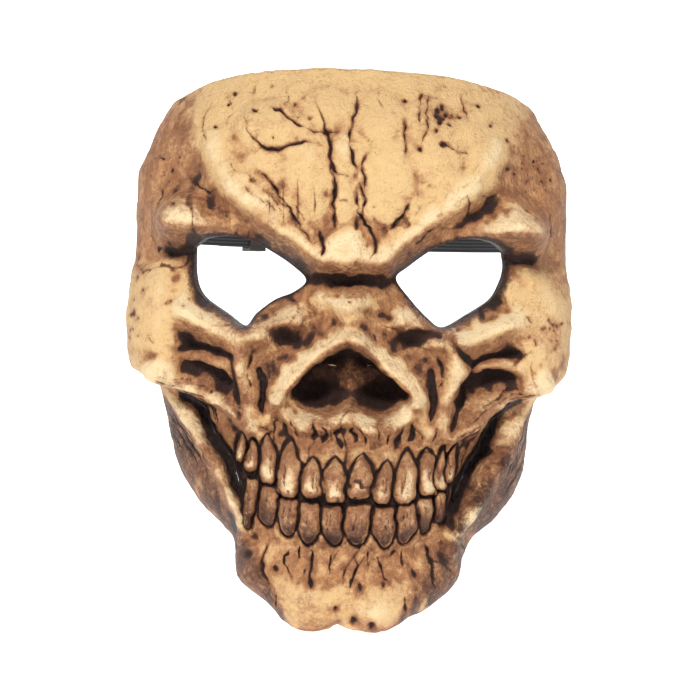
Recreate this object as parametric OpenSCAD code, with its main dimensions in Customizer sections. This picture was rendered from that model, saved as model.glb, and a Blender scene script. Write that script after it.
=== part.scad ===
// A slush-cast latex skull face mask, held on the head by a riveted elastic strap.
// The mask faces -Y, +Z is up and +X is the wearer's left. The origin is on the mid-plane,
// level with the wearer's pupils, at the bridge of the wearer's nose.

/* [Skin] */
// Thickness of the latex wall
wall = 2.4; // [1.8:0.1:3]
// Half the width across the temples, where the strap is riveted
temple_half_w = 83; // [70:0.5:96]
// Height of the top edge above the pupils
brow_h = 73; // [66:1:84]
// Depth from the bridge of the nose to the rear edge at the temples
rear_edge = 73; // [68:1:84]

/* [Strap] */
// Width of the elastic webbing
strap_w = 18; // [15:1:24]
// Thickness of the elastic webbing
strap_t = 1.5; // [1:0.1:2]
// Radius of the strap's round corners behind the head
corner_r = 60; // [48:1:66]
// Length of each straight side, from rivet to corner
side_run = 62; // [46:1:80]
// Length of the loose tail past the buckle
tail_run = 52; // [36:1:70]
// Length that is folded round the front bar and sewn down
sewn_fold = 15; // [12:1:22]

/* [Rivets] */
// Height of the rivets above the pupils
rivet_h = 19; // [12:1:19]
// Distance from the rivets to the rear edge of the skin
rivet_setback = 16; // [14:0.5:20]
// Radius of a rivet's shank
shank_r = 2.5; // [1.8:0.1:3]
// Radius of a rivet's head and of its cap
head_r = 5.5; // [4.5:0.1:7]
// Thickness of a rivet's head and of its cap
head_t = 1.2; // [1:0.1:2]
// Radius of the pin that the cap presses into the shank
pin_r = 1.2; // [0.8:0.1:1.4]
// Width and height of the patch that backs the skin
patch_w = 22; // [18:1:22]
// Thickness of that patch
patch_t = 1; // [0.6:0.1:1.6]
// Radius of the washer between patch and strap
washer_r = 7; // [6:0.5:9]
// Thickness of the washer
washer_t = 0.8; // [0.5:0.1:1.5]

/* [Buckle and keeper] */
// Radius of the buckle's two bars
bar_r = 1.5; // [1.2:0.1:2]
// Distance between the bars
bar_gap = 12; // [9:0.5:16]
// Thickness of the buckle's two side rails
rail_t = 3; // [2.4:0.1:4]
// Height of each side rail
rail_w = 2.6; // [2:0.1:4]
// Width of the keeper loop along the strap
keeper_w = 7; // [5:0.5:10]
// Wall of the keeper loop
keeper_wall = 1.4; // [1:0.1:2]
// Angle round the corner at which the keeper sits
keeper_at = 22; // [16:1:28]

/* [Clearances] */
// Gap between the flat faces of the riveted stack
stack_gap = 0.12; // [0.05:0.01:0.2]
// Radial gap between a shank and the strap that turns on it
pivot_gap = 0.06; // [0.02:0.01:0.1]
// Gap round the strap where it passes a bar or the keeper
slip_gap = 0.25; // [0.15:0.05:0.4]

/* [Hidden] */
$fn = 64;

bone = "burlywood";
webbing = [0.06, 0.06, 0.065];
brass = [0.55, 0.42, 0.22];
nylon = [0.85, 0.83, 0.78];
black_plastic = [0.03, 0.03, 0.035];
thread = [0.1, 0.1, 0.11];

// ---- The skin: horizontal sections laid through stations down the face -------------------
// Each station is [height, front, half width, depth from the front to the widest point,
// squareness, rear edge, rise per depth, rise along the side wall, tilt of the wall],
// in millimetres, the tilt in degrees above the horizontal.
t_w = temple_half_w;
r_e = rear_edge;
stations = [
    [brow_h,      13, t_w - 10.6, 40, 2.5, r_e - 9,  -0.42, 0,    32],
    [brow_h - 11,  5, t_w - 5.2,  44, 2.6, r_e - 6,  -0.33, 0,    26],
    [48,          -2, t_w - 2,    46, 2.8, r_e - 3,  -0.20, 0,    16],
    [34,          -5, t_w,        47, 3.0, r_e - 1,  -0.05, 0,    5],
    [18,          -6, t_w,        46, 3.0, r_e,       0,    0,    0],
    [3,           -4, t_w,        43, 3.0, r_e,       0,    0,    0],
    [-6,          -3, t_w + 1.4,  40, 3.0, r_e,       0,    0,    0],
    [-20,         -3, t_w + 2.2,  37, 3.0, r_e,       0,    0,    0],
    [-33,         -4, t_w + 1.5,  37, 3.0, r_e - 1,   0,    0,    -6],
    [-40,         -5, t_w - 0.6,  39, 2.8, r_e - 2,   0,    0,    -22],
    [-44,         -6, t_w - 5,    41, 2.6, r_e - 3,   0,    0,    -30],
    [-48,         -7, t_w - 10.4, 43, 2.4, r_e - 4,   0,    0,    -20],
    [-60,         -9, t_w - 14,   47, 2.2, r_e - 7,   0,    0.10, -6],
    [-77,        -12, t_w - 18.6, 46, 2.1, r_e - 15,  0,    0.30, -4],
    [-92,        -14, t_w - 27,   42, 2.0, r_e - 25,  0,    0.50, -4],
    [-104,       -15, t_w - 37,   38, 2.0, r_e - 35,  0,    0.60, -4],
    [-112,       -16, t_w - 42,   34, 2.0, r_e - 43,  0.05, 0.70, -6],
    [-120,       -17, t_w - 46,   30, 2.0, r_e - 49,  0.12, 0.70, -14],
    [-128,       -17, t_w - 51,   26, 2.0, r_e - 51,  0.25, 0.70, -34],
    [-133.5,     -13, t_w - 55.5, 22, 2.0, r_e - 51,  0.40, 0.70, -60],
    [-135.5,      -6, t_w - 59,   19, 2.0, r_e - 51,  0.45, 0.70, -82],
    [-134.5,       3, t_w - 61,   15, 2.0, r_e - 51,  0.45, 0.70, -96]];
n_st = len(stations);

// Ridges and hollows pressed into the sections, each mirrored about the mid-plane:
// [x1, z1, x2, z2, radius, height], a rounded ridge (or groove) from one point to the other.
relief = [
    [0, 4, 5, 4, 10, 6],           // glabella
    [14, 4, 46, 17, 8, 6],         // brow ridge
    [55, 15, 66, 13, 9, 11],       // brow horn
    [27, -9, 50, -4, 13, -14],     // eye socket
    [57, 2, 61, -12, 8, -6],       // outer wall of the socket
    [72, -10, 74, -34, 9, 5],      // cheekbone
    [30, -30, 62, -27, 6, 7],      // lower rim of the socket
    [0, -12, 0, -26, 8, 11],       // nasal bones
    [0, -39, 12, -48, 8, -10],     // nasal opening
    [9, -31, 26, -46, 6, 7],       // side of the nasal opening
    [0, -38, 0, -49, 4, 4],        // nose inside the opening
    [0, -60, 14, -61, 6, 7],       // floor of the nasal opening
    [32, -34, 30, -64, 7, 6],      // canine pillar
    [0, -84, 24, -80, 17, 14],     // tooth arch
    [44, -39, 62, -41, 5, -8],     // hollow under the cheekbone
    [58, -52, 39, -98, 6, -10],    // hollow behind the teeth
    [66, -52, 40, -108, 5, 5],     // front edge of the jaw
    [0, -106, 22, -102, 10, 3],    // lower gum
    [10, -125, 12, -124, 10, 7],   // chin
    [33, -112, 33, -112, 8, 5],    // corner of the jaw
    [14, 34, 20, 30, 12, 4],       // frontal bosses
    [56, 38, 64, 35, 9, -4]];      // temple hollow

// Teeth, on the +X side and mirrored: [distance from the middle, height, half width, half height]
teeth = [[4.8, -79.5, 5.2, 9.6], [14.4, -79, 4.8, 9], [23.2, -78, 4.6, 9.4], [31.2, -75.5, 4, 9],
    [37.6, -72.5, 3.2, 7.4],
    [4.7, -97, 5, 8.8], [14, -96.6, 4.6, 8.6], [22.4, -95.4, 4.2, 8], [29.6, -93, 3.6, 7.4]];
tooth_depth = 3.4;

// Eye opening, seen from the front, on the +X side
eye_outline = [[17, -5.5], [23, -1], [30, 3.5], [37, 7.5], [45, 9.5], [53, 8.7], [59, 4], [60, -2],
    [57, -9], [52, -14.5], [45, -18.5], [36.5, -23.5], [30, -19], [23.5, -14.5], [19.5, -10]];

front_steps = 32;   // columns round the front of each section
wall_steps = 3;     // columns along each side wall
row_step = 6.4;     // longest distance between two rows

// Slope of a curve at knot i that never overshoots its knots
function slope(k, c, i) =
    i == 0 || i == n_st - 1 ? 0 :
    let (a = (stations[i][c] - stations[i - 1][c]) / (k[i] - k[i - 1]),
        b = (stations[i + 1][c] - stations[i][c]) / (k[i + 1] - k[i]))
    a * b <= 0 ? 0 : 2 * a * b / (a + b);

// Distance down the middle of the face to each station
function span(i) = norm([stations[i][0] - stations[i - 1][0], stations[i][1] - stations[i - 1][1]]);
knots = [for (i = 0, s = 0; i < n_st; i = i + 1, s = i < n_st ? s + span(i) : s) s];

// Column c of the stations, a share f of the way from station i to the next
function between(i, f, c) =
    let (h = knots[i + 1] - knots[i], a = stations[i][c], b = stations[i + 1][c],
        ma = slope(knots, c, i) * h, mb = slope(knots, c, i + 1) * h)
    a * (2 * f ^ 3 - 3 * f ^ 2 + 1) + ma * (f ^ 3 - 2 * f ^ 2 + f)
        + b * (3 * f ^ 2 - 2 * f ^ 3) + mb * (f ^ 3 - f ^ 2);

rows = [for (i = [0:n_st - 2], n = ceil((knots[i + 1] - knots[i]) / row_step), k = [0:n - 1])
    [for (c = [0:8]) between(i, k / n, c)], stations[n_st - 1]];
turns = [for (k = [0:front_steps], u = 2 * k / front_steps - 1) 90 * (0.78 * u + 0.22 * u ^ 3)];
columns = [for (k = [0:wall_steps - 1]) [-90, 1 - k / wall_steps], for (t = turns) [t, 0],
    for (k = [1:wall_steps]) [90, k / wall_steps]];
n_rows = len(rows);
n_cols = len(columns);

// A point of the plain sections: row r, column [turn, share of the side wall]
function wall_run(r, c) = c[1] * max(0, r[5] - r[1] - r[3]);
function plain(r, c) =
    let (sx = sin(c[0]), run = wall_run(r, c),
        y = r[1] + r[3] * (1 - sqrt(max(0, 1 - abs(sx) ^ r[4]))))
    [r[2] * sx, y + run, r[0] + r[6] * (y - r[1]) + (r[6] + r[7]) * run];

// Directions square to the wall at a column: the angle round from straight ahead, then the tilt
function facing(c) =
    let (sx = abs(sin(c[0])), flat = 1 - sx ^ 2.8)
    sign(c[0]) * (flat < 1e-6 ? 90 : atan(0.77 * sx ^ 1.8 / sqrt(flat)));
function heading(a, tilt) = [sin(a) * cos(tilt), -cos(a) * cos(tilt), sin(tilt)];

// Height of the relief at a point of the front view, with the side walls laid out flat
function from_line(p, a, b) =
    let (d = b - a, m = d * d, f = m == 0 ? 0 : max(0, min(1, (p - a) * d / m)))
    norm(p - a - f * d);
function lift(x, z) =
    [for (k = relief) k[5] * exp(-(from_line([abs(x), z], [k[0], k[1]], [k[2], k[3]]) / k[4]) ^ 2)]
    * [for (k = relief) 1];

// The relief is raised nearly straight ahead on the face and sideways on the side walls
function raised(r, c) =
    let (p = plain(r, c), a = facing(c), x = p[0] + sign(c[0]) * wall_run(r, c))
    p + heading(sign(a) * a * a / 90, r[8]) * lift(x, p[2]);

module skin_shell() {
    outer = [for (r = rows) for (c = columns) raised(r, c)];
    inner = [for (r = rows) for (c = columns) raised(r, c) - wall * heading(facing(c), r[8])];
    n = n_rows * n_cols;
    function at(i, j) = i * n_cols + j;
    // the grid's edge, once round, as [outer point, next outer point]
    edge = [for (j = [0:n_cols - 2]) [at(0, j + 1), at(0, j)],
        for (i = [0:n_rows - 2]) [at(i, 0), at(i + 1, 0)],
        for (j = [0:n_cols - 2]) [at(n_rows - 1, j), at(n_rows - 1, j + 1)],
        for (i = [0:n_rows - 2]) [at(i + 1, n_cols - 1), at(i, n_cols - 1)]];
    // quads start at the corner their diagonal leaves from, mirrored about the mid-plane
    quads = [for (i = [0:n_rows - 2]) for (j = [0:n_cols - 2]) 2 * j < n_cols - 1
        ? [at(i, j + 1), at(i + 1, j + 1), at(i + 1, j), at(i, j)]
        : [at(i, j), at(i, j + 1), at(i + 1, j + 1), at(i + 1, j)]];
    polyhedron(points = concat(outer, inner), faces = concat(
        [for (q = quads) [q[0], q[1], q[2]]],
        [for (q = quads) [q[0], q[2], q[3]]],
        [for (q = quads) [q[2] + n, q[1] + n, q[0] + n]],
        [for (q = quads) [q[3] + n, q[2] + n, q[0] + n]],
        [for (e = edge) [e[0], e[1], e[1] + n]],
        [for (e = edge) [e[0], e[1] + n, e[0] + n]]), convexity = 10);
}

// Front surface at a point of the front view, and how far it turns away there
front_rows = [for (i = [0:16]) stations[i]];
function station_at(z, c) = lookup(z, [for (r = front_rows) [r[0], r[c]]]);
function front_y(x, z) =
    station_at(z, 1) + station_at(z, 3) * (1 - sqrt(1 - (abs(x) / station_at(z, 2)) ^ 2.1))
    - lift(x, z);
module tooth(t)
    translate([t[0], front_y(t[0], t[1]), t[1]])
        rotate([atan(front_y(t[0], t[1] + 3) - front_y(t[0], t[1] - 3)) / 6 * 0.6, 0,
            atan((front_y(t[0] + 2, t[1]) - front_y(t[0] - 2, t[1])) / 4)])
            scale([t[2], tooth_depth, t[3]]) sphere(r = 1, $fn = 10);

// Extrudes a front-view outline towards the back
module through(from_y, to_y)
    translate([0, to_y, 0]) rotate([90, 0, 0]) linear_extrude(to_y - from_y) children();

// ---- The riveted stack at each temple, outermost piece first ------------------------------
inner_face = temple_half_w - wall;
patch_x = inner_face - stack_gap - patch_t;
washer_x = patch_x - stack_gap - washer_t;
strap_x = washer_x - stack_gap - strap_t;
cap_x = strap_x - stack_gap;
rivet_y = rear_edge - rivet_setback;
shank_hole_r = shank_r + pivot_gap;

module face_skin() {
    color(bone) resize([0, 0, 0]) difference() {
        union() {
            skin_shell();
            for (side = [-1, 1], t = teeth) scale([side, 1, 1]) tooth(t);
        }
        for (side = [-1, 1]) scale([side, 1, 1]) {
            through(-40, 60) polygon(eye_outline);
            translate([inner_face - 2, rivet_y, rivet_h]) rotate([0, 90, 0])
                cylinder(r = shank_r + stack_gap, h = wall + 8, $fn = 24);
        }
    }
}

// Places a piece that is drawn along +X on one side of the mask
module on_side(side, x)
    translate([side * x, rivet_y, rivet_h]) rotate([0, side > 0 ? 90 : -90, 0]) children();

module patch(side) {
    c = patch_w / 2;
    cut = patch_w / 5;
    color(bone) on_side(side, patch_x) difference() {
        linear_extrude(patch_t) polygon([[-c + cut, -c], [c - cut, -c], [c, -c + cut],
            [c, c - cut], [c - cut, c], [-c + cut, c], [-c, c - cut], [-c, -c + cut]]);
        translate([0, 0, -1]) cylinder(r = shank_hole_r, h = patch_t + 2);
    }
}

module washer(side) {
    color(nylon) on_side(side, washer_x) difference() {
        cylinder(r = washer_r, h = washer_t);
        translate([0, 0, -1]) cylinder(r = shank_hole_r, h = washer_t + 2);
    }
}

// A low round head: full radius at its base, rounded off towards its top
function dome(r, t) = [[0, 0], [r, 0], [r, t * 0.35], [r * 0.9, t * 0.72], [r * 0.68, t * 0.94],
    [r * 0.4, t], [0, t]];

module rivet(side) {
    color(brass) on_side(side, cap_x) difference() {
        union() {
            cylinder(r = shank_r, h = temple_half_w + stack_gap - cap_x);
            translate([0, 0, temple_half_w + stack_gap - cap_x])
                rotate_extrude() polygon(dome(head_r, head_t));
        }
        translate([0, 0, -1]) cylinder(r = pin_r + pivot_gap, h = strap_t + washer_t + 2);
    }
}

module rivet_cap(side) {
    color(brass) on_side(side, cap_x) union() {
        mirror([0, 0, 1]) translate([0, 0, stack_gap / 2]) rotate_extrude() polygon(dome(head_r, head_t));
        translate([0, 0, -stack_gap]) cylinder(r = pin_r, h = strap_t + washer_t);
    }
}

// ---- The strap: two straight sides, two round corners and a straight back -----------------
mid_x = strap_x + strap_t / 2;
corner_x = mid_x - corner_r;
corner_y = rivet_y + side_run;
back_y = corner_y + corner_r;
end_pad = strap_w / 2;
fold_r = bar_r + slip_gap + strap_t / 2;
bar_y = back_y + fold_r;
outer_y = back_y + 2 * fold_r;
tail_angle = (tail_run - corner_x + bar_gap / 2) / (corner_r + 2 * fold_r) * 180 / PI;

// The strap's cross-section, stood on edge at a radius from the turning axis
module band_section(r) translate([r - strap_t / 2, -strap_w / 2]) square([strap_t, strap_w]);

module band_turn(r, start, angle)
    rotate([0, 0, start]) rotate_extrude(angle = angle) band_section(r);

// A flat run of strap from one point to another along Y or along X
module band_run(from, to)
    translate([min(from[0], to[0]) - (from[0] == to[0] ? strap_t / 2 : 0),
        min(from[1], to[1]) - (from[1] == to[1] ? strap_t / 2 : 0), -strap_w / 2])
    cube([abs(to[0] - from[0]) + (from[0] == to[0] ? strap_t : 0),
        abs(to[1] - from[1]) + (from[1] == to[1] ? strap_t : 0), strap_w]);

// From the rivet round the corner to the back, then round the buckle's bar at -X or +X
module strap_side(side, back_end, return_end) {
    clip = end_pad * 0.4;
    translate([0, 0, rivet_h]) scale([side, 1, 1]) {
        difference() {
            translate([strap_x, rivet_y, 0]) rotate([90, 0, 90]) linear_extrude(strap_t)
                polygon([[side_run, -end_pad], [side_run, end_pad], [clip - end_pad, end_pad],
                    [-end_pad, end_pad - clip], [-end_pad, clip - end_pad], [clip - end_pad, -end_pad]]);
            translate([strap_x - 1, rivet_y, 0]) rotate([0, 90, 0])
                cylinder(r = shank_hole_r, h = strap_t + 2);
        }
        translate([corner_x, corner_y, 0]) band_turn(corner_r, 0, 90);
        band_run([corner_x, back_y], [back_end, back_y]);
        translate([back_end, bar_y, 0]) band_turn(fold_r, 90, 180);
        band_run([back_end, outer_y], [return_end, outer_y]);
    }
}

module left_strap() {
    color(webbing) union() {
        strap_side(-1, bar_gap / 2, corner_x);
        translate([-corner_x, corner_y, rivet_h])
            band_turn(corner_r + 2 * fold_r, 90, tail_angle);
    }
}

module right_strap() color(webbing) strap_side(1, bar_gap / 2, bar_gap / 2 + sewn_fold - fold_r);

module strap_buckle() {
    rail_len = bar_gap + 2 * bar_r + 2 * rail_w;
    inner_h = strap_w / 2 + slip_gap;
    color(black_plastic) translate([0, bar_y, rivet_h]) {
        for (s = [-1, 1]) {
            translate([s * bar_gap / 2, 0, -inner_h - rail_w / 2]) cylinder(r = bar_r, h = 2 * inner_h + rail_w);
            translate([-rail_len / 2, -rail_t / 2, s * (inner_h + rail_w / 2) - rail_w / 2])
                cube([rail_len, rail_t, rail_w]);
        }
    }
}

stitch_t = 0.4;
stitch_rows = 7;
module strap_stitches() {
    pitch = (strap_w - 5) / (stitch_rows - 1);
    x0 = bar_gap / 2 + sewn_fold - fold_r - 5;
    color(thread) for (k = [0:stitch_rows - 1])
        translate([x0, outer_y + strap_t / 2 + 0.02, rivet_h - (strap_w - 5) / 2 + k * pitch - 0.4])
            cube([4, stitch_t, 0.8]);
}

// A rectangular loop round both layers of the strap, centred on the corner's turning axis
module strap_keeper() {
    inner_y = corner_r - strap_t / 2 - slip_gap;
    outer_edge = corner_r + 2 * fold_r + strap_t / 2 + slip_gap;
    half_h = strap_w / 2 + slip_gap;
    sag = (keeper_w / 2) ^ 2 / (2 * corner_r);
    color(black_plastic) translate([-corner_x, corner_y, rivet_h])
        rotate([0, 0, 90 + keeper_at]) translate([0, -keeper_w / 2, 0]) difference() {
            translate([inner_y - keeper_wall - sag, 0, -half_h - keeper_wall])
                cube([outer_edge - inner_y + 2 * keeper_wall + sag, keeper_w, 2 * (half_h + keeper_wall)]);
            translate([inner_y - sag, -1, -half_h])
                cube([outer_edge - inner_y + sag, keeper_w + 2, 2 * half_h]);
        }
}

face_skin();
patch(-1);  // left_patch
patch(1);  // right_patch
rivet(-1);  // left_rivet
rivet(1);  // right_rivet
rivet_cap(-1);  // left_rivet_cap
rivet_cap(1);  // right_rivet_cap
washer(-1);  // left_washer
washer(1);  // right_washer
left_strap();
right_strap();
strap_buckle();
strap_stitches();
strap_keeper();
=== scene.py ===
# %% [markdown]
# # A latex skull mask
# The imported CAD model gives the frame: where the skin, the rivets and the strap are, and how
# they move. It is loaded first and never changed. Its box is kept and printed.

# %% Load the frame
import math
import bpy
import numpy as np
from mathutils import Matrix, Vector


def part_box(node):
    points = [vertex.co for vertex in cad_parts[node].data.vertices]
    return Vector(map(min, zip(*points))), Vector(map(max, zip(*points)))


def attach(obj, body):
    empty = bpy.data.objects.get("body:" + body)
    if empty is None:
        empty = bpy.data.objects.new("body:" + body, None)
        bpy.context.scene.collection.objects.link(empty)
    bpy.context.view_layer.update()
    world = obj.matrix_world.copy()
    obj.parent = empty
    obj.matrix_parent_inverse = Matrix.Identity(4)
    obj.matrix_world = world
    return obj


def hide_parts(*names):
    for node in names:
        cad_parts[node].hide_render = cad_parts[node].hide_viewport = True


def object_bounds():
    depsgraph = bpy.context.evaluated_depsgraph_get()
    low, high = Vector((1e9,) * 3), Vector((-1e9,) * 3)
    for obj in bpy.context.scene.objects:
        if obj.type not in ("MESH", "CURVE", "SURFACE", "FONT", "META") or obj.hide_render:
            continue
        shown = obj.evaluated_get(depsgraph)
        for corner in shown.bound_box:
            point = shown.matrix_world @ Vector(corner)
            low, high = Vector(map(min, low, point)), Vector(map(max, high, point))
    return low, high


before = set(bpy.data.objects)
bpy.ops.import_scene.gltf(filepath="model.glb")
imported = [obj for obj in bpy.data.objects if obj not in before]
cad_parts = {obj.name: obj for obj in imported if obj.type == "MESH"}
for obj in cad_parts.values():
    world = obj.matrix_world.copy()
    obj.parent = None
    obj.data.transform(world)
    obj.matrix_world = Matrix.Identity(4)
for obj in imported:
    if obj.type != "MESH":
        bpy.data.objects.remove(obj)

cad_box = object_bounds()
MM = 0.001
print("CAD box, mm:", [[round(v / MM, 1) for v in corner] for corner in cad_box])

# %% [markdown]
# ## Camera
# The mask is seen straight from the front, at its own height. A long lens keeps the nose and
# chin from looking too near. The whole picture leans by a degree and a half, as a worn mask
# does.

# %% Camera
scene = bpy.context.scene
camera = bpy.data.objects.new("camera", bpy.data.cameras.new("camera"))
scene.collection.objects.link(camera)
scene.camera = camera
LENS, SENSOR, DISTANCE = 191, 36, 1.4      # millimetres, millimetres, metres
LEAN = math.radians(1.5)
camera.data.lens = LENS
camera.data.sensor_width = SENSOR
camera.location = (0.0008, -DISTANCE, -0.0325)
camera.rotation_euler = (math.radians(90), 0, 0)
camera.rotation_euler.rotate_axis("Z", LEAN)
print("picture width at the mask, mm:", round(DISTANCE / MM * SENSOR / LENS))

# %% [markdown]
# ## Floor and light
# A bowl of pale paper holds the mask, so that every view has the same plain ground. One wide
# lamp above the camera lights it, dimmer ones fill from the sides and from behind, and the
# pale world lifts the shadows.

# %% Floor and light
def add_object(name, mesh):
    obj = bpy.data.objects.new(name, mesh)
    scene.collection.objects.link(obj)
    return obj


def paper_bowl(floor_z, radius, height):
    profile = [(0, 0), (radius * 0.7, 0)]
    profile += [(radius * 0.7 + radius * 0.3 * math.sin(a), radius * 0.3 * (1 - math.cos(a)))
                for a in np.radians(np.arange(6, 91, 6))]
    profile.append((radius, height))
    turns = 96
    points = [(r * math.cos(t), r * math.sin(t), floor_z + z)
              for r, z in profile[1:] for t in np.linspace(0, 2 * math.pi, turns, endpoint=False)]
    rings = len(profile) - 1
    faces = [tuple(range(turns))]
    for k in range(rings - 1):
        for j in range(turns):
            n = (j + 1) % turns
            faces.append((k * turns + j, (k + 1) * turns + j, (k + 1) * turns + n, k * turns + n))
    mesh = bpy.data.meshes.new("paper_bowl")
    mesh.from_pydata(points, [], faces)
    mesh.shade_smooth()
    mesh.update()
    return add_object("paper_bowl", mesh)


FLOOR_GAP = 0.5 * MM
bowl = paper_bowl(cad_box[0][2] - FLOOR_GAP, radius=3.4, height=3.6)


def lamp(name, place, aim, size, watts, colour=(1, 1, 1)):
    data = bpy.data.lights.new(name, "AREA")
    data.shape, data.size, data.energy, data.color = "DISK", size, watts, colour
    obj = bpy.data.objects.new(name, data)
    scene.collection.objects.link(obj)
    obj.location = place
    obj.rotation_euler = (Vector(aim) - Vector(place)).to_track_quat("-Z", "Y").to_euler()
    return obj


lamp("key", (-0.18, -1.25, 1.0), (0, 0.02, -0.03), 0.32, 25, (1, 0.985, 0.96))
lamp("fill_left", (-1.5, -0.8, 0.2), (0, 0.03, -0.03), 0.9, 1.0)
lamp("fill_right", (1.5, -0.9, 0.3), (0, 0.03, -0.03), 0.9, 1.3)
lamp("back", (0.3, 1.6, 1.3), (0, 0.05, 0), 0.9, 5)
world = bpy.data.worlds.new("pale_world")
scene.world = world
world.use_nodes = True
world.node_tree.nodes["Background"].inputs["Color"].default_value = (0.98, 0.99, 1, 1)
world.node_tree.nodes["Background"].inputs["Strength"].default_value = 0.14
scene.view_settings.view_transform = "Standard"

# %% [markdown]
# ## Shader maths in plain Python
# A material is a net of small nodes. Written as Python expressions it stays readable: a
# wrapped socket can be added, multiplied and mixed like a number, and each operation adds
# the Math node that does it. Every other node comes from one method, `make`.

# %% Shader maths
class Net:
    """A material's node tree, with its shader's own sockets at hand."""

    def __init__(self, name):
        self.material = bpy.data.materials.new(name)
        self.material.use_nodes = True
        self.tree = self.material.node_tree
        self.shader = self.tree.nodes["Principled BSDF"]

    def make(self, kind, out=0, settings=None, **inputs):
        node = self.tree.nodes.new(kind)
        for key, value in (settings or {}).items():
            if key == "stops":
                ramp = node.color_ramp
                while len(ramp.elements) < len(value):
                    ramp.elements.new(0.5)
                for element, (place, colour) in zip(ramp.elements, value):
                    element.position, element.color = place, (*colour, 1)
            else:
                setattr(node, key, value)
        for key, value in inputs.items():
            key = int(key[1:]) if key[0] == "i" and key[1:].isdigit() else key.replace("_", " ")
            self.join(node.inputs[key], value)
        return Wire(self, node.outputs[out])

    def join(self, socket, value):
        if isinstance(value, Wire):
            self.tree.links.new(value.socket, socket)
        elif isinstance(value, (tuple, list)) and len(value) == 3 and socket.type == "RGBA":
            socket.default_value = (*value, 1)
        else:
            socket.default_value = value

    def set(self, **inputs):
        for key, value in inputs.items():
            self.join(self.shader.inputs[key.replace("_", " ")], value)

    def noise(self, where, scale, detail=3.0, roughness=0.5, stretch=None, distortion=0.0):
        if stretch:
            where = self.make("ShaderNodeVectorMath", settings={"operation": "MULTIPLY"},
                              i0=where, i1=stretch)
        return self.make("ShaderNodeTexNoise", Vector=where, Scale=scale, Detail=detail,
                         Roughness=roughness, Distortion=distortion)

    def mix(self, share, a, b, blend="MIX"):
        return self.make("ShaderNodeMix", out=2, settings={"data_type": "RGBA",
                                                           "blend_type": blend},
                         i0=share, i6=a, i7=b)

    def bump(self, height, distance, strength=1.0, normal=None):
        extra = {"Normal": normal} if normal else {}
        return self.make("ShaderNodeBump", Height=height, Distance=distance, Strength=strength,
                         **extra)


class Wire:
    """One output socket that behaves like a number."""

    def __init__(self, net, socket):
        self.net, self.socket = net, socket

    def _math(self, operation, a, b, clamp=False):
        return self.net.make("ShaderNodeMath", settings={"operation": operation,
                                                         "use_clamp": clamp},
                             i0=a, i1=b)

    def __add__(self, other): return self._math("ADD", self, other)
    def __radd__(self, other): return self._math("ADD", other, self)
    def __sub__(self, other): return self._math("SUBTRACT", self, other)
    def __rsub__(self, other): return self._math("SUBTRACT", other, self)
    def __mul__(self, other): return self._math("MULTIPLY", self, other)
    def __rmul__(self, other): return self._math("MULTIPLY", other, self)
    def clamp(self): return self._math("ADD", self, 0.0, clamp=True)

    def over(self, low, high):
        """0 below low, 1 above high, smooth between."""
        return self.net.make("ShaderNodeMapRange", settings={"interpolation_type": "SMOOTHSTEP"},
                             Value=self, From_Min=low, From_Max=high)


def paper():
    """Pale paper with a glowing strip behind and under the mask."""
    net = Net("pale_paper")
    place = net.make("ShaderNodeTexCoord", out=3)
    axes = net.make("ShaderNodeSeparateXYZ", Vector=place).socket.node.outputs
    wide = Wire(net, axes[0])
    beside = wide._math("ABSOLUTE", wide, 0.0).over(0.45, 1.7)
    back = Wire(net, axes[1]).over(-0.6, 0.1) * (1 - beside)
    fibre = net.noise(place, 40, 3, 0.6)
    net.set(Base_Color=(0.8, 0.8, 0.8), Roughness=0.85 + (fibre - 0.5) * 0.1, Emission_Strength=1.0,
            Emission_Color=net.mix(back, (0.2, 0.2, 0.2), (0.97, 0.97, 0.97)))
    return net.material


bowl.data.materials.append(paper())
print("shader maths ready, paper on the bowl")

# %% [markdown]
# ## The form of the face
# A slush-cast mask is one thin wall of latex. Its plain form comes first: horizontal
# sections, each with a front, a half width, a depth, a squareness and a rear edge, joined by
# smooth curves down the face. They are the sizes that the CAD skin has, so the holes for the
# rivets and the rear edge agree with it.

# %% Sections down the face
# height, front, half width, depth, squareness, rear, rise with depth, rise along wall, tilt
SECTIONS = np.array([
    [73, 13, 72.4, 40, 2.5, 64, -0.42, 0, 32],
    [62, 5, 77.8, 44, 2.6, 67, -0.33, 0, 26],
    [48, -2, 81, 46, 2.8, 70, -0.20, 0, 16],
    [34, -5, 83, 47, 3.0, 72, -0.05, 0, 5],
    [18, -6, 83, 46, 3.0, 73, 0, 0, 0],
    [3, -4, 83, 43, 3.0, 73, 0, 0, 0],
    [-6, -3, 84.4, 40, 3.0, 73, 0, 0, 0],
    [-20, -3, 85.2, 37, 3.0, 73, 0, 0, 0],
    [-33, -4, 84.5, 37, 3.0, 72, 0, 0, -6],
    [-40, -5, 82.4, 39, 2.8, 71, 0, 0, -22],
    [-44, -6, 78, 41, 2.6, 70, 0, 0, -30],
    [-48, -7, 72.6, 43, 2.4, 69, 0, 0, -20],
    [-60, -9, 69, 47, 2.2, 66, 0, 0.10, -6],
    [-77, -12, 64.4, 46, 2.1, 58, 0, 0.30, -4],
    [-92, -14, 56, 42, 2.0, 48, 0, 0.50, -4],
    [-104, -15, 46, 38, 2.0, 38, 0, 0.60, -4],
    [-112, -16, 41, 34, 2.0, 30, 0.05, 0.70, -6],
    [-120, -17, 37, 30, 2.0, 24, 0.12, 0.70, -14],
    [-128, -17, 32, 26, 2.0, 22, 0.25, 0.70, -34],
    [-133.5, -13, 27.5, 22, 2.0, 22, 0.40, 0.70, -60],
    [-135.5, -6, 24, 19, 2.0, 22, 0.45, 0.70, -82],
    [-134.5, 3, 22, 15, 2.0, 22, 0.45, 0.70, -96]], dtype=float)
WALL = 2.4


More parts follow.
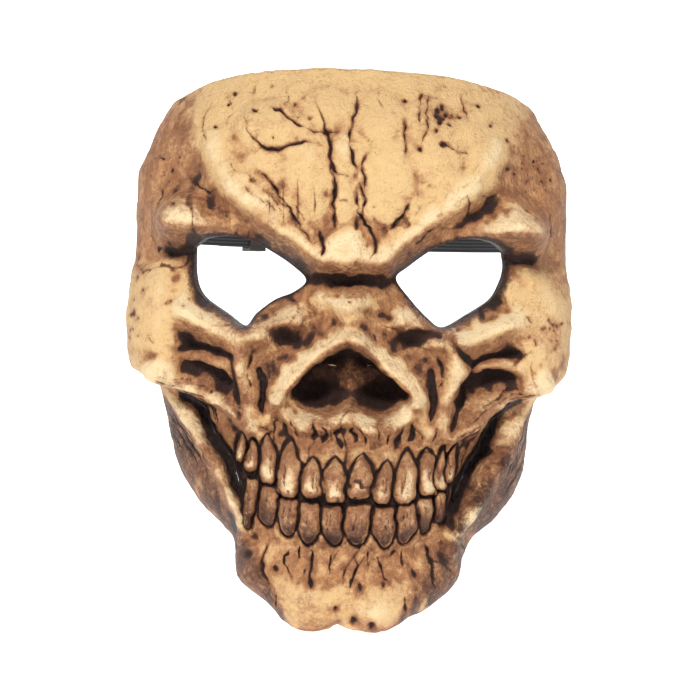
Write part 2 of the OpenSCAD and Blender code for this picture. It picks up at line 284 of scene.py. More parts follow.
def smooth_columns(knots, table, at):
    """Each column as a curve through its knots that never swings past them."""
    step = np.diff(knots)[:, None]
    rise = np.diff(table, axis=0) / step
    slope = np.zeros_like(table)
    a, b = rise[:-1], rise[1:]
    same = a * b > 0
    slope[1:-1][same] = (2 * a * b / np.where(same, a + b, 1))[same]
    i = np.clip(np.searchsorted(knots, at, side="right") - 1, 0, len(knots) - 2)
    h = step[i]
    f = ((at - knots[i]) / h[:, 0])[:, None]
    return (table[i] * (2 * f**3 - 3 * f**2 + 1) + slope[i] * h * (f**3 - 2 * f**2 + f)
            + table[i + 1] * (3 * f**2 - 2 * f**3) + slope[i + 1] * h * (f**3 - f**2))


def even_steps(weights, count):
    """Positions 0..1 that put equal shares of the weight between them."""
    total = np.concatenate([[0], np.cumsum(weights)])
    return np.interp(np.linspace(0, total[-1], count), total, np.linspace(0, 1, len(total)))


N_ROWS, N_FRONT, N_SIDE = ((500, 470, 34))
knots = np.concatenate([[0], np.cumsum(np.hypot(np.diff(SECTIONS[:, 0]), np.diff(SECTIONS[:, 1])))])
rows = smooth_columns(knots, SECTIONS, np.linspace(0, knots[-1], N_ROWS))
ROW_STEP = knots[-1] / (N_ROWS - 1)

t = np.radians(np.linspace(-90, 90, 2001))
across, deep = 80 * np.sin(t), 42 * (1 - np.sqrt(np.maximum(0, 1 - np.abs(np.sin(t)) ** 2.9)))
share = even_steps(np.hypot(np.diff(across),
                            np.diff(deep)) * (1 + 0.25 * (np.abs(across[1:]) < 52)),
                   N_FRONT)
turns = np.radians(-90 + 180 * share)
side_share = np.linspace(1, 0, N_SIDE, endpoint=False)
turn = np.concatenate([np.full(N_SIDE, -math.pi / 2), turns, np.full(N_SIDE, math.pi / 2)])
along = np.concatenate([side_share, np.zeros(N_FRONT), side_share[::-1]])
N_COLS = len(turn)
print("grid of", N_ROWS, "rows and", N_COLS, "columns, rows", round(ROW_STEP, 2), "mm apart")

# %% Plain surface and the ways it faces
z0, front, half, depth, square, rear, lean, climb, tilt = rows.T[:, :, None]
sine = np.sin(turn)[None, :]
sign = np.sign(turn)[None, :]
run = along * np.maximum(0, rear - front - depth)
set_back = depth * (1 - np.sqrt(np.maximum(0, 1 - np.abs(sine) ** square)))
plain = np.stack([half * sine, front + set_back + run,
                  z0 + lean * set_back + (lean + climb) * run], axis=2)
X = plain[:, :, 0] + sign * run     # the front view, with the side walls laid out flat
Z = plain[:, :, 2].copy()

flat = 1 - np.abs(np.sin(turn)) ** 2.8
facing = np.sign(turn) * np.where(flat < 1e-6, math.pi / 2,
                                  np.arctan(0.77 * np.abs(np.sin(turn)) ** 1.8
                                            / np.sqrt(np.maximum(flat, 1e-9))))


def heading(angle, tilt_deg):
    v = np.radians(tilt_deg)
    return np.stack([np.sin(angle) * np.cos(v), -np.cos(angle) * np.cos(v),
                     np.sin(v) * np.ones_like(angle)], axis=2)


wall_way = heading(facing[None, :], tilt)
raise_way = heading((np.sign(facing) * facing**2 / (math.pi / 2))[None, :], tilt)
print("plain face spans", np.round(plain.reshape(-1, 3).min(0)),
      np.round(plain.reshape(-1, 3).max(0)))

# %% [markdown]
# ## Modelling tools
# The sculptor's work is done as strokes on this sheet, in millimetres as seen from the
# front. A stroke raises or lowers the surface near a line, a spot or an outline. A second
# sheet takes the paint: dark wash, stain, paler bone and gloss, where the first three also
# carry painted shade and painted highlight. Each tool works only on the part of the
# sheet that it can reach, which keeps hundreds of strokes quick.

# %% Modelling tools
H = np.zeros_like(X)                       # relief, mm
# paint sheets: dark wash and stain, both also carrying painted shade; pale, also carrying painted
# highlight; gloss; and masks of the teeth and the nose
paint = {k: np.zeros_like(X) for k in ("wash_and_shade", "stain_and_shade", "pale", "gloss", "tooth", "nose")}
rng = np.random.default_rng(31)


def reach(points, far):
    p = np.asarray(points, float).reshape(-1, 2)
    lo, hi = p.min(0) - far, p.max(0) + far
    i, j = np.nonzero((X > lo[0]) & (X < hi[0]) & (Z > lo[1]) & (Z < hi[1]))
    return i, j


def curve_through(points, step=1.0):
    """A smooth line through given points."""
    p = np.asarray(points, float)
    if len(p) < 3:
        return p
    q = np.vstack([2 * p[0] - p[1], p, 2 * p[-1] - p[-2]])
    out = []
    for k in range(1, len(q) - 2):
        n = max(2, int(np.linalg.norm(q[k + 1] - q[k]) / step))
        f = np.linspace(0, 1, n, endpoint=False)[:, None]
        a, b, c, d = q[k - 1], q[k], q[k + 1], q[k + 2]
        out.append(0.5 * (2 * b + (c - a) * f + (2 * a - 5 * b + 4 * c - d) * f**2
                          + (3 * b - a - 3 * c + d) * f**3))
    return np.vstack(out + [p[-1:]])


def to_line(x, z, line):
    """Distance to a line, and the share of the line's length at the nearest point."""
    best, where = np.full(x.shape, 1e9), np.zeros(x.shape)
    lengths = np.concatenate([[0], np.cumsum(np.linalg.norm(np.diff(line, axis=0), axis=1))])
    for k in range(len(line) - 1):
        a, d = line[k], line[k + 1] - line[k]
        m = max(d @ d, 1e-9)
        f = np.clip(((x - a[0]) * d[0] + (z - a[1]) * d[1]) / m, 0, 1)
        gap = np.hypot(x - a[0] - f * d[0], z - a[1] - f * d[1])
        near = gap < best
        best[near] = gap[near]
        where[near] = (lengths[k] + f[near] * math.sqrt(m)) / lengths[-1]
    return best, where


def inside(x, z, ring):
    """Signed distance to a closed outline, negative inside."""
    loop = np.vstack([ring, ring[:1]])
    gap, _ = to_line(x, z, loop)
    odd = np.zeros(x.shape, bool)
    for (ax, az), (bx, bz) in zip(loop[:-1], loop[1:]):
        if az != bz:
            cross = ((az > z) != (bz > z)) & (x < ax + (z - az) / (bz - az) * (bx - ax))
            odd ^= cross
    return np.where(odd, -gap, gap)


def ease(v, low, high):
    f = np.clip((v - low) / (high - low), 0, 1)
    return f * f * (3 - 2 * f)


def ridge(points, width, height, ends=(1.0, 1.0), sharp=2.0, sheet=None):
    """A rounded ridge, or a groove if the height is negative, that may thin at its ends."""
    line = curve_through(points)
    i, j = reach(line, width * 2.6)
    gap, where = to_line(X[i, j], Z[i, j], line)
    taper = np.interp(where, [0, 0.25, 0.75, 1], [ends[0], 1, 1, ends[1]])
    spread = width * (0.35 + 0.65 * taper)
    (H if sheet is None else sheet)[i, j] += height * taper * np.exp(-(gap / spread) ** sharp)


def both(tool, points, *rest, **named):
    """The same stroke on both sides of the face."""
    tool(points, *rest, **named)
    tool([(-x, z) for x, z in points], *rest, **named)


def lump(x, z, rx, rz, height, angle=0.0, sharp=2.0, sheet=None):
    far = max(rx, rz) * 2.4
    i, j = reach([(x, z)], far)
    a = math.radians(angle)
    u, v = X[i, j] - x, Z[i, j] - z
    u, v = u * math.cos(a) + v * math.sin(a), v * math.cos(a) - u * math.sin(a)
    q = np.sqrt((u / rx) ** 2 + (v / rz) ** 2)
    (H if sheet is None else sheet)[i, j] += height * np.exp(-q**sharp)


def pillow(x, z, rx, rz, height):
    """A swollen plate with a stained crease round it."""
    i, j = reach([(x, z)], max(rx, rz) * 1.8)
    q = np.hypot((X[i, j] - x) / rx, (Z[i, j] - z) / rz)
    crease = np.exp(-((q - 1.1) / 0.15) ** 2)
    H[i, j] += height * np.exp(-q**2.6) - 0.3 * crease
    paint["stain_and_shade"][i, j] += 0.12 * crease


def crack(points, width=0.8, depth=1.0, wash_and_shade=0.78, wander=0.5, ends=(0.2, 0.2)):
    """A thin uneven split: the line wanders, its width changes, and wash fills it."""
    line = curve_through(points, 1.6)
    line[1:-1] += rng.normal(0, wander, line[1:-1].shape) * 0.6
    i, j = reach(line, width * 5)
    gap, where = to_line(X[i, j], Z[i, j], line)
    size = np.interp(where, np.linspace(0, 1, 12), rng.uniform(0.5, 1.2, 12))
    size *= np.interp(where, [0, 0.2, 0.8, 1], [ends[0], 1, 1, ends[1]])
    w = 0.52 * width * np.maximum(size, 0.32)
    H[i, j] -= depth * size * np.exp(-(gap / w) ** 2)
    H[i, j] += 0.28 * depth * size * np.exp(-((gap - 2.1 * width) / (1.3 * width)) ** 2)
    paint["wash_and_shade"][i, j] = np.maximum(paint["wash_and_shade"][i, j],
                                    wash_and_shade * np.clip(size * 1.2, 0,
                                                  1) * np.exp(-(gap / (w * 0.95)) ** 2))
    paint["stain_and_shade"][i, j] += 0.5 * size * np.exp(-(gap / (2.4 * width)) ** 2)


def pit(x, z, radius=0.9, depth=1.1, wash_and_shade=0.9):
    lump(x, z, radius, radius * rng.uniform(0.8, 1.3), -depth, angle=rng.uniform(0, 90))
    lump(x, z, radius * 0.8, radius, wash_and_shade, sheet=paint["wash_and_shade"])
    lump(x, z, radius * 2.2, radius * 2.2, 0.4, sheet=paint["stain_and_shade"])


def blur(sheet, size_mm):
    """Three box blurs, which come close to a soft round one."""
    out = sheet
    for axis in (0, 1):
        n = max(1, int(round(size_mm / ROW_STEP)))
        pad = [(n + 1, n) if a == axis else (0, 0) for a in (0, 1)]
        for _ in range(3):
            total = np.cumsum(np.pad(out, pad, mode="edge"), axis=axis)
            m = out.shape[axis]
            hi = np.take(total, np.arange(2 * n + 1, 2 * n + 1 + m), axis=axis)
            lo = np.take(total, np.arange(0, m), axis=axis)
            out = (hi - lo) / (2 * n + 1)
    return out


def grain(size, seed, along_x=1.0, along_z=1.0, warp=0.0):
    """Smooth noise between -1 and 1 whose bumps are about `size` millimetres wide."""
    table = np.random.default_rng(seed).uniform(-1, 1, (256, 256))
    u, v = X / size / along_x + 60, Z / size / along_z + 90
    if warp:
        u, v = u + warp * grain(size * 2.3, seed + 1), v + warp * grain(size * 2.1, seed + 2)
    a, b = np.floor(u).astype(int), np.floor(v).astype(int)
    f, g = u - a, v - b
    f, g = f * f * (3 - 2 * f), g * g * (3 - 2 * g)
    pick = lambda m, n: table[(a + m) % 256, (b + n) % 256]
    return ((pick(0, 0) * (1 - f) + pick(1, 0) * f) * (1 - g)
            + (pick(0, 1) * (1 - f) + pick(1, 1) * f) * g)


def thicken(sheet, wall):
    """The inner side of a wall: the outer height moved in by the wall's thickness, so that a
    steep groove keeps its thickness too."""
    out = sheet
    for axis, place in ((0, Z), (1, X)):
        n = int(math.ceil(1.6 * wall / (ROW_STEP if axis == 0 else 0.62 * ROW_STEP + 0.2)))
        base, best = out, out.copy()
        for k in range(1, n + 1):
            for way in (-k, k):
                moved, spot = np.roll(base, way, axis), np.roll(place, way, axis)
                step = np.abs(spot - place)
                best = np.where(step < 2 * wall, np.minimum(best, moved + step**2 / (2 * wall)),
                                best)
        out = best
    return out


flat_X, flat_Z = X, Z
X, Z = (flat_X + 0.75 * grain(6.5, 81) + 0.42 * grain(2.4, 82),
        flat_Z + 0.75 * grain(6.5, 83) + 0.42 * grain(2.4, 84))      # no stroke has a ruled edge
print("modelling tools ready")

# %% [markdown]
# ## Brow, sockets and cheekbones
# The big forms come first, broad before narrow. The brow runs from the knob between the eyes
# out and up to a blunt horn at each temple. The cheekbones are square blocks at the widest
# part of the face, with a hollow under each.

# %% Brow, sockets and cheekbones
lump(-1, 50, 48, 20, 2.2)                                        # forehead's crown
MASS = [(-8, -5), (-13, -3), (-22, 4), (-30, 8.5), (-39, 13.5), (-48, 19), (-54, 27), (-58, 38),
        (-60, 50),
        (-58, 66), (-30, 92), (30, 92), (58, 66), (58.5, 50), (57.5, 39), (54.5, 30), (49, 22.5),
        (42, 17.5), (31, 11.5), (22, 4.5), (13, -2.5), (8, -5)]
i, j = reach(MASS, 8)
gap = inside(X[i, j], Z[i, j], curve_through(MASS + MASS[:1], 2)[:-1])
high = ease(Z[i, j], 22, 46)
soft_end = ease(np.abs(X[i, j]), 36, 52)
over_eyes = (1 - high) * ease(-gap, -1.2 - 3 * soft_end, 4.6 + 6 * soft_end)
above = 0.8 * high * ease(-gap, -5, 12)
H[i, j] += 5.4 * (over_eyes + above) * (1 - 0.6 * ease(Z[i, j], 40, 66))
H[i, j] -= 1.5 * np.exp(-((gap - 2.6) / 3.2) ** 2) * ease(44 - Z[i, j], 0, 20)
paint["stain_and_shade"][i, j] += 0.7 * np.exp(-((gap - 3.4) / 5.0) ** 2) * ease(60 - Z[i, j], 0, 36)
paint["wash_and_shade"][i, j] += 0.12 * np.exp(-((gap - 1.6) / 1.8) ** 2) * ease(28 - Z[i, j], 0, 12)
both(ridge, [(12, -3), (21, 2.5), (31, 9), (44, 13), (56, 12)], 3.6, 3.0, ends=(0.9, 1))
both(ridge, [(9, -1), (18, 5.5), (28, 14), (38, 22.5), (48, 33), (54, 44)], 6.2, 3.4,
     ends=(0.9, 0.7))                                            # folds
for side in (-1, 1):
    lump(side * 64.4, 14.6, 10, 8.8, 10.4, sharp=3)                        # horn
    lump(side * 64.4, 15.6, 8.5, 6.5, 0.5, sheet=paint["pale"])
    ridge([(side * 65, 17), (side * 60, 21.5), (side * 56, 27)], 6, 3.6, ends=(1, 0.5), sharp=2.4)
    ridge([(side * 64, 14), (side * 56, 15), (side * 46, 14)], 6, 4.6, ends=(0.8, 0.5), sharp=2.4)
    # a groove under each horn, with a dark line painted in it as the horn's shadow
    ridge([(side * 68, 3), (side * 62, 3.5), (side * 58, 5)], 1.8, -2.6)
    ridge([(side * 69, 3.4), (side * 62, 3), (side * 58, 5)], 2.4, 0.8, sheet=paint["wash_and_shade"])
    lump(side * 38, -7, 21, 12, -12, sharp=2.8, angle=-side * 4)       # socket
    lump(side * 73, -22, 9.5, 20, 5.5, sharp=3.2)                      # cheekbone
    lump(side * 75, -40, 9, 5, 2.5)
    lump(side * 68, 36, 8, 16, -3.2)                                   # temple
    lump(side * 68, 34, 12, 18, 0.5, sheet=paint["stain_and_shade"])
    lump(side * 76, 6, 4, 9, -2.2)
both(ridge, [(20, -21), (32, -28), (46, -26.5), (60, -21)], 5, 6)      # lower rim of the socket
both(ridge, [(60, -8), (62, -16), (58, -24)], 4, 3)
lump(-1.8, 4.7, 8.2, 8.2, 6.2, sharp=4)                             # knob
lump(-12.5, 0, 6.5, 4.5, 2.6, angle=35)
lump(11.5, 1, 7, 4.5, 2.6, angle=-35)
ridge([(-13, -5), (-1.5, -6.2), (11, -5)], 1.5, -2.4, ends=(0.4, 0.4))   # under the knob
ridge([(-13, -5), (-1.5, -6.4), (11, -5)], 0.9, 0.6, ends=(0.3, 0.3), sheet=paint["wash_and_shade"])
print("relief so far:", round(H.min(), 1), "to", round(H.max(), 1), "mm")

# %% [markdown]
# ## Forehead
# The forehead is swollen into round plates with deep splits between them. Small pits and
# short cracks break up the plain parts.

# %% Forehead
for x, z, rx, rz, h in [(-17.5, 33, 9.5, 10, 3.2), (13.5, 33.5, 9, 11, 3.4),
                        (-15, 21.5, 6.5, 6, 2.4),
                        (-3.5, 38.5, 5, 8.5, 2.2), (-2.5, 22, 3.6, 7.5, 2.2), (12.5, 20, 7, 6, 1.8),
                        (-33, 50, 11, 9, 2.2), (-10, 57, 9, 8, 1.8), (10.5, 54, 8.5, 10, 2.0),
                        (29, 52, 8, 10, 1.6), (-41, 24, 12, 8, 1.8), (38, 27, 12, 8, 1.8),
                        (-27, 21, 7, 6, 1.6), (26, 20, 7, 5, 1.4), (-34, 33, 9, 7, 1.4),
                        (31, 37, 9, 7, 1.4)]:
    pillow(x, z, rx, rz, h * 1.15)
CRACKS = [  # points, width, depth
    ([(1.5, 65), (0, 55), (-1, 45), (1, 35), (1.5, 31)], 0.9, 1.8),
    ([(-15, 61), (-12, 53), (-11, 47.5), (-9.5, 43), (-8, 37), (-5.5, 32), (1, 31.5)], 0.9, 1.8),
    ([(-34, 57.5), (-27, 53.5), (-19.5, 49.5), (-13.5, 47), (-3.5, 47)], 0.8, 1.5),
    ([(-41, 56), (-40.5, 50), (-37.5, 44), (-33, 41.5), (-28, 41), (-18, 43.5), (-11, 42)], 0.8,
     1.4),
    ([(26, 66), (24.5, 57), (25.5, 49)], 0.7, 1.1),
    ([(28.5, 65), (27.5, 57), (28, 50), (25.5, 43)], 0.6, 1.0),
    ([(19.5, 53), (20, 45), (20.5, 37.5)], 0.6, 1.1),
    ([(1.5, 31), (4.5, 26), (5, 19), (4, 13.5)], 0.8, 1.8),
    ([(-5.5, 31), (-6.5, 25), (-6.5, 19), (-5.5, 13.5)], 0.8, 1.8),
    ([(-8, 37), (-8.5, 33), (-6.6, 29), (-6.8, 24)], 0.7, 1.3),
    ([(6, 41), (4, 37), (3.6, 30), (6, 25.5)], 0.6, 1.2),
    ([(-36, 34), (-30.7, 29), (-25.5, 22), (-21.6, 16.3), (-17.5, 11), (-13.7, 6.4)], 0.75, 1.5),
    ([(-13.5, 12.5), (-11.5, 10.5), (-10.4, 6), (-11.4, 1.5)], 0.8, 1.6),
    ([(22.1, 24.4), (18, 18.4), (14.6, 14), (12.2, 10.2)], 0.75, 1.5),
    ([(31.2, 14.8), (27, 11), (23.2, 6.5)], 0.6, 1.2),
    ([(1.6, 29), (2.4, 22), (4.6, 15.7), (8.6, 10), (8.8, 4), (7.4, -1)], 0.75, 1.5),
    ([(44, 27), (43, 22), (43.6, 18)], 0.6, 1.1),
    ([(10, 66), (9.5, 60), (12, 55)], 0.5, 0.7), ([(-48, 62), (-46, 57), (-48, 51)], 0.4, 0.6),
    ([(-73, 28), (-72.5, 23), (-73, 19)], 0.6, 1.0), ([(76, 23), (75.5, 17), (76, 11)], 0.6, 1.0),
    ([(-60, 30), (-54, 25), (-50, 27)], 0.5, 0.6), ([(58, 30), (52, 26), (46, 27)], 0.5, 0.6),
    ([(-26, 67), (-25, 61), (-27, 55)], 0.4, 0.6), ([(42, 67), (41, 60), (44, 52)], 0.5, 0.8),
    ([(33, 47), (38, 42), (45, 41)], 0.4, 0.6), ([(-54, 60), (-57, 50), (-55, 42)], 0.4, 0.6)]
for points, width, depth_mm in CRACKS:
    crack(points, width, depth_mm)
for x, z, r in [(31.5, 57, 1.4), (33.5, 58.5, 1.0), (30.8, 54.5, 1.1), (34.6, 55.6, 1.0),
                (32, 51.5, 0.9), (58, 48, 0.9),
                (58.3, 37.3, 0.8), (-48, 58.5, 0.8), (-45.5, 63, 0.7), (-37, 54.5, 1.0),
                (33, 60, 0.9), (32.5, 53.5, 1.6),
                (39.5, 55, 0.9), (34, 44.5, 1.1), (19.5, 59.5, 0.8), (25, 42.5, 0.9), (31, 49, 0.8),
                (36, 51, 0.7), (-22, 58, 0.6), (-52, 49, 0.7), (47, 60, 0.7), (52, 53, 0.6),
                (-64, 20, 0.6), (61, 36, 0.6), (-30, 45, 0.5)]:
    pit(x, z, r)
for k in range(16):                                    # fine splits along the left fold
    f = k / 15
    x, z = -40 + 22 * f + rng.normal(0, 1.8), 31 - 19 * f + rng.normal(0, 1.8)
    n = rng.uniform(2.2, 4.6)
    crack([(x - n * 0.62, z + n * 0.7), (x, z), (x + n * 0.6, z - n * 0.75)], 0.42, 0.6, wash_and_shade=0.6,
          wander=0.25)
for k in range(10):                                    # and along the right one
    f = k / 9
    x, z = 46 - 22 * f + rng.normal(0, 2.5), 32 - 19 * f + rng.normal(0, 2.5)
    n = rng.uniform(1.8, 3.6)
    crack([(x + n * 0.6, z + n * 0.7), (x, z), (x - n * 0.6, z - n * 0.7)], 0.36, 0.45, wash_and_shade=0.5,
          wander=0.25)
for x, z, spread_x, spread_z, count in [(-79, -23, 3.5, 5, 9), (-78, -4, 3, 5, 6),
                                        (74, -24, 5, 5, 10), (70, 38, 6, 9, 22),
                                        (-71, 34, 5, 9, 12), (-64, -20, 4, 5, 5),
                                        (33, 54, 4, 6, 9)]:
    for k in range(count):
        pit(x + rng.normal(0, spread_x * 0.6), z + rng.normal(0, spread_z * 0.6),
            rng.uniform(0.32, 0.6), 0.6, 0.75)
for x, z in [(66, -19), (70, -23), (73, -20), (76, -27), (68, -28), (-74, -30)]:
    crack([(x, z + 1.6), (x + 1.2, z), (x + 1.6, z - 2)], 0.42, 0.6, wash_and_shade=0.65)
print(len(CRACKS), "cracks cut")

# %% [markdown]
# ## Nose and upper jaw
# The nose is an open hollow shaped like a pear, with a raised rim. Inside it sits a darker,
# grainy form with two closed hollows, which stand for the nostril holes; their dark is
# painted shade. Above it the short nasal bones end in a blunt tip, and pillars of bone run
# down to the teeth.

# %% Nose and upper jaw
NOSE = curve_through([(0.5, -29.5), (7, -33), (14, -38.5), (21, -43.5), (24, -48.5), (19, -54.5),
                      (12, -56.5),
                      (5, -54.5), (1, -53.5), (-4, -54.8), (-10, -56.5), (-17, -53.5),
                      (-21.5, -46.5),
                      (-17, -41), (-10, -35.5), (-5, -32), (0.5, -29.5)][:-1] + [(0.5, -29.5)],
                     1.2)[:-1]
both(ridge, [(3, -14), (8, -20), (9, -28)], 5.5, 3)                  # nasal bones
ridge([(0.2, -12), (0.3, -20), (0.4, -27)], 6.5, 8.5, ends=(0.6, 1), sharp=2.4)
lump(-10, -13, 5.5, 4.5, 5), lump(6.5, -12, 5, 4.5, 4.5)
lump(0.4, -26.5, 6, 4.5, 3.5)
both(ridge, [(5, -30), (13, -35.5), (21, -41), (26.5, -48)], 4.2, 7.5, ends=(0.8, 0.8))
both(ridge, [(26, -50), (21, -58), (12, -60.5), (3, -58)], 4, 6.5, ends=(0.8, 0.9))
i, j = reach(NOSE, 4)
gap = inside(X[i, j], Z[i, j], NOSE)
H[i, j] -= 11 * ease(-gap, -1.2, 4.0)
paint["nose"][i, j] = ease(-gap, -0.2, 2.2)
paint["stain_and_shade"][i, j] += 1.0 * ease(-gap, -1.5, 0.8)
ridge([(0.5, -33), (1, -42), (1, -51)], 4.2, 6.5, ends=(0.5, 1))      # the nose inside
for side in (1, -1):
    lump(side * 10.5, -46, 7.5, 6, 4.5)
    # a closed nostril hollow, with painted shade in it where the real mask has a hole
    lump(side * 11, -51.5, 4.6, 3.4, -4.5)
    lump(side * 11, -51.5, 5.2, 4, 0.7, sheet=paint["wash_and_shade"])
for side in (-1, 1):
    lump(side * 25, -27.8, 4.8, 3.2, -4.4, angle=side * 14, sharp=2.6)   # holes under the sockets
    lump(side * 25, -27.8, 4.4, 3, 1.0, angle=side * 14, sharp=2.6, sheet=paint["wash_and_shade"])
    lump(side * 27, -26, 9, 6, 0.6, sheet=paint["stain_and_shade"])
    ridge([(side * 18, -23), (side * 25, -21.8), (side * 32, -25)], 2.2, 2.2)
ridge([(19, -26.5), (27, -25), (34, -26.5)], 1.8, -2.2)
ridge([(19, -26.5), (27, -25), (34, -26.5)], 1.5, 0.8, sheet=paint["wash_and_shade"])
both(ridge, [(40, -29), (41, -40), (38, -52), (35, -63)], 5.5, 6.5, ends=(0.8, 0.7))   # pillars
both(ridge, [(28, -52), (30, -60), (29, -67)], 4, 4, ends=(0.6, 0.8))
both(ridge, [(17, -62), (16, -67), (15, -72)], 3.5, 2.2)
both(ridge, [(7, -60), (6, -66), (5, -70)], 3, 1.8)
crack([(-31, -43), (-31.5, -50), (-31, -57)], 1.1, 2.0)
crack([(31.5, -45), (32, -52), (31, -58)], 1.0, 1.8)
crack([(-35, -34), (-36.5, -42), (-35.5, -48)], 0.7, 1.2)
crack([(34, -33), (35.5, -41), (34.5, -47)], 0.8, 1.4)
for points, width, height in [([(-61, -39.5), (-53, -43), (-46, -47), (-41.5, -50.5)], 3.6, -7),
                              ([(61, -42), (54, -43), (47, -45), (42, -50.5)], 4.4, -7.5),
                              ([(-64, -34), (-58, -32.5), (-50, -34.5), (-44, -35.5)], 1.6, -3.6),
                              ([(38, -27), (44, -34), (48, -36.5), (56, -33.5), (64, -32)], 1.4,
                               -3.4),
                              ([(-44, -36), (-42, -44), (-39.5, -53), (-37.5, -61)], 1.5, -3),
                              ([(47, -38), (44, -46), (41.5, -54), (39, -62)], 1.5, -3),
                              ([(-33, -41), (-31.3, -47), (-31, -56)], 1.0, -2.6),
                              ([(31, -40), (33, -48), (31, -58)], 1.0, -2.4)]:
    ridge(points, width, height, ends=(0.8, 0.6), sharp=2.4)
    ridge(points, width * 0.7, 0.58, ends=(0.7, 0.3), sheet=paint["wash_and_shade"])
    ridge(points, width * 1.5, 0.9, sheet=paint["stain_and_shade"])
lump(-61.3, -30.6, 4.2, 3, -4.5, angle=-20), lump(-61.3, -30.6, 3.6, 2.6, 0.8, angle=-20,
                                                  sheet=paint["wash_and_shade"])
lump(61.5, -32, 4.4, 2.8, -4, angle=20), lump(61.5, -32, 3.8, 2.4, 0.8, angle=20,
                                              sheet=paint["wash_and_shade"])
both(ridge, [(64, -38.5), (56, -38.5), (49, -40.5)], 1.9, 2.6)          # spur between the hollows
print("nose cut,", len(i), "points inside its reach")

# %% [markdown]
# ## Cheek straps and jaw
# Strips of bone and sinew run from under each cheekbone to the corner of the teeth. Behind
# the teeth lies the deepest hollow of the mask, and beyond it the jaw rises as a long panel
# with grooves along its grain.

# %% Cheek straps and jaw
STRAPS = [[(-70, -41), (-65, -44.5), (-54, -47.5), (-43, -55), (-37.5, -62.5)],
          [(72, -43), (67.5, -45.5), (59, -50), (49.5, -57), (40, -64.5)]]
for line in STRAPS:
    side = math.copysign(1, line[0][0])
    ridge(line, 4.4, 6.6, ends=(0.9, 0.7), sharp=2.6)
    ridge(line, 3.0, 0.6, sheet=paint["pale"])
    ridge(line, 3.4, -0.45, sheet=paint["stain_and_shade"])
    for k in range(9):                                  # its fibres
        off, a, b = rng.uniform(-4.2, 4.2), *np.sort(rng.uniform(0, 1, 2))
        path = curve_through(line)[int(a * 30):int(a * 30 + 8 + b * 16)]
        if len(path) > 3:
            crack([tuple(q) for q in (path + [0, off])[::4]], 0.45, 0.9, wash_and_shade=0.7, wander=0.15)
GROOVES = [[(-62, -51), (-58, -54), (-55, -58.5), (-49.5, -69), (-44.5, -76), (-41.5, -83),
            (-38, -90), (-35, -96)],
           [(64, -49), (58.5, -54), (56, -61), (53, -69.5), (48.5, -76), (45, -83), (41, -91),
            (37, -98)]]
JAWS = [[(-69, -50), (-61.6, -58), (-53.7, -68), (-48, -76.5), (-42.5, -86), (-38.5, -95.5),
         (-37, -105)],
        [(70, -48.5), (62.5, -61), (56.5, -73), (50, -85), (43, -98), (38, -107)]]
for groove, jaw in zip(GROOVES, JAWS):
    side = math.copysign(1, groove[0][0])
    within = [(x - side * 5, z - 1) for x, z in groove[1:]]
    ridge(within, 6.5, -4.5, ends=(0.6, 0.3), sharp=2.6)
    ridge(within, 7, 0.75, ends=(0.8, 0.4), sheet=paint["stain_and_shade"])
    ridge(groove, 2.3, -5.5, ends=(0.5, 0.2))
    ridge(groove, 2.2, 1.0, ends=(0.6, 0.2), sharp=2.6, sheet=paint["wash_and_shade"])
    ridge(groove, 2.2, 0.9, ends=(0.6, 0.2), sheet=paint["gloss"])
    ridge(jaw, 3.2, 5.6, ends=(0.15, 0.8), sharp=2.4)
    ridge(jaw, 2.6, 0.45, ends=(0.5, 0.4), sheet=paint["pale"])
    ridge(jaw, 3.0, -0.5, ends=(0.5, 0.4), sheet=paint["stain_and_shade"])
    lump(side * 48, -61.5, 4.5, 6, 4.2, angle=-side * 30, sharp=3)          # muscle
    for k in range(11):                                 # sinews between the teeth and the jaw
        f = rng.uniform(0.2, 0.95)
        x, z = np.array(within[int(f * (len(within) - 1))]) + rng.normal(0, 2, 2)
        n = rng.uniform(3, 6)
        crack([(x + side * n * 0.25, z + n), (x, z), (x - side * n * 0.3, z - n)], 0.5, 1.1,
              wash_and_shade=0.75, wander=0.2)
    for k in range(13):                                 # grain of the side panel
        off, top = 3.5 + 1.7 * k * 0.8, rng.uniform(0, 0.5)
        path = curve_through(jaw)[int(top * 40):int(top * 40 + rng.uniform(12, 30))] + [side * off,
                                                                                        1.5]
        crack([tuple(q) for q in path[::5]], 0.6, 0.8, wash_and_shade=0.75, wander=0.2)
both(ridge, [(80, -46), (70, -48), (60, -50)], 2.4, -2)
lump(66, -80, 14, 18, 4.5), lump(58, -97, 13, 12, 4), lump(84, 14, 10, 30, 1.2)
lump(-46, -106, 9, 11, -4)
print("jaw done, deepest", round(H.min(), 1), "mm")

# %% [markdown]
# ## Teeth
# The bared teeth are the mask's most telling part. Each is a swollen shape with a pointed
# root and a worn biting edge, set in a dark trough. Painted shade darkens each towards its rim
# and a painted highlight lightens its middle. They are wider and longer in the middle,
# uneven as real ones are, and split down their length.

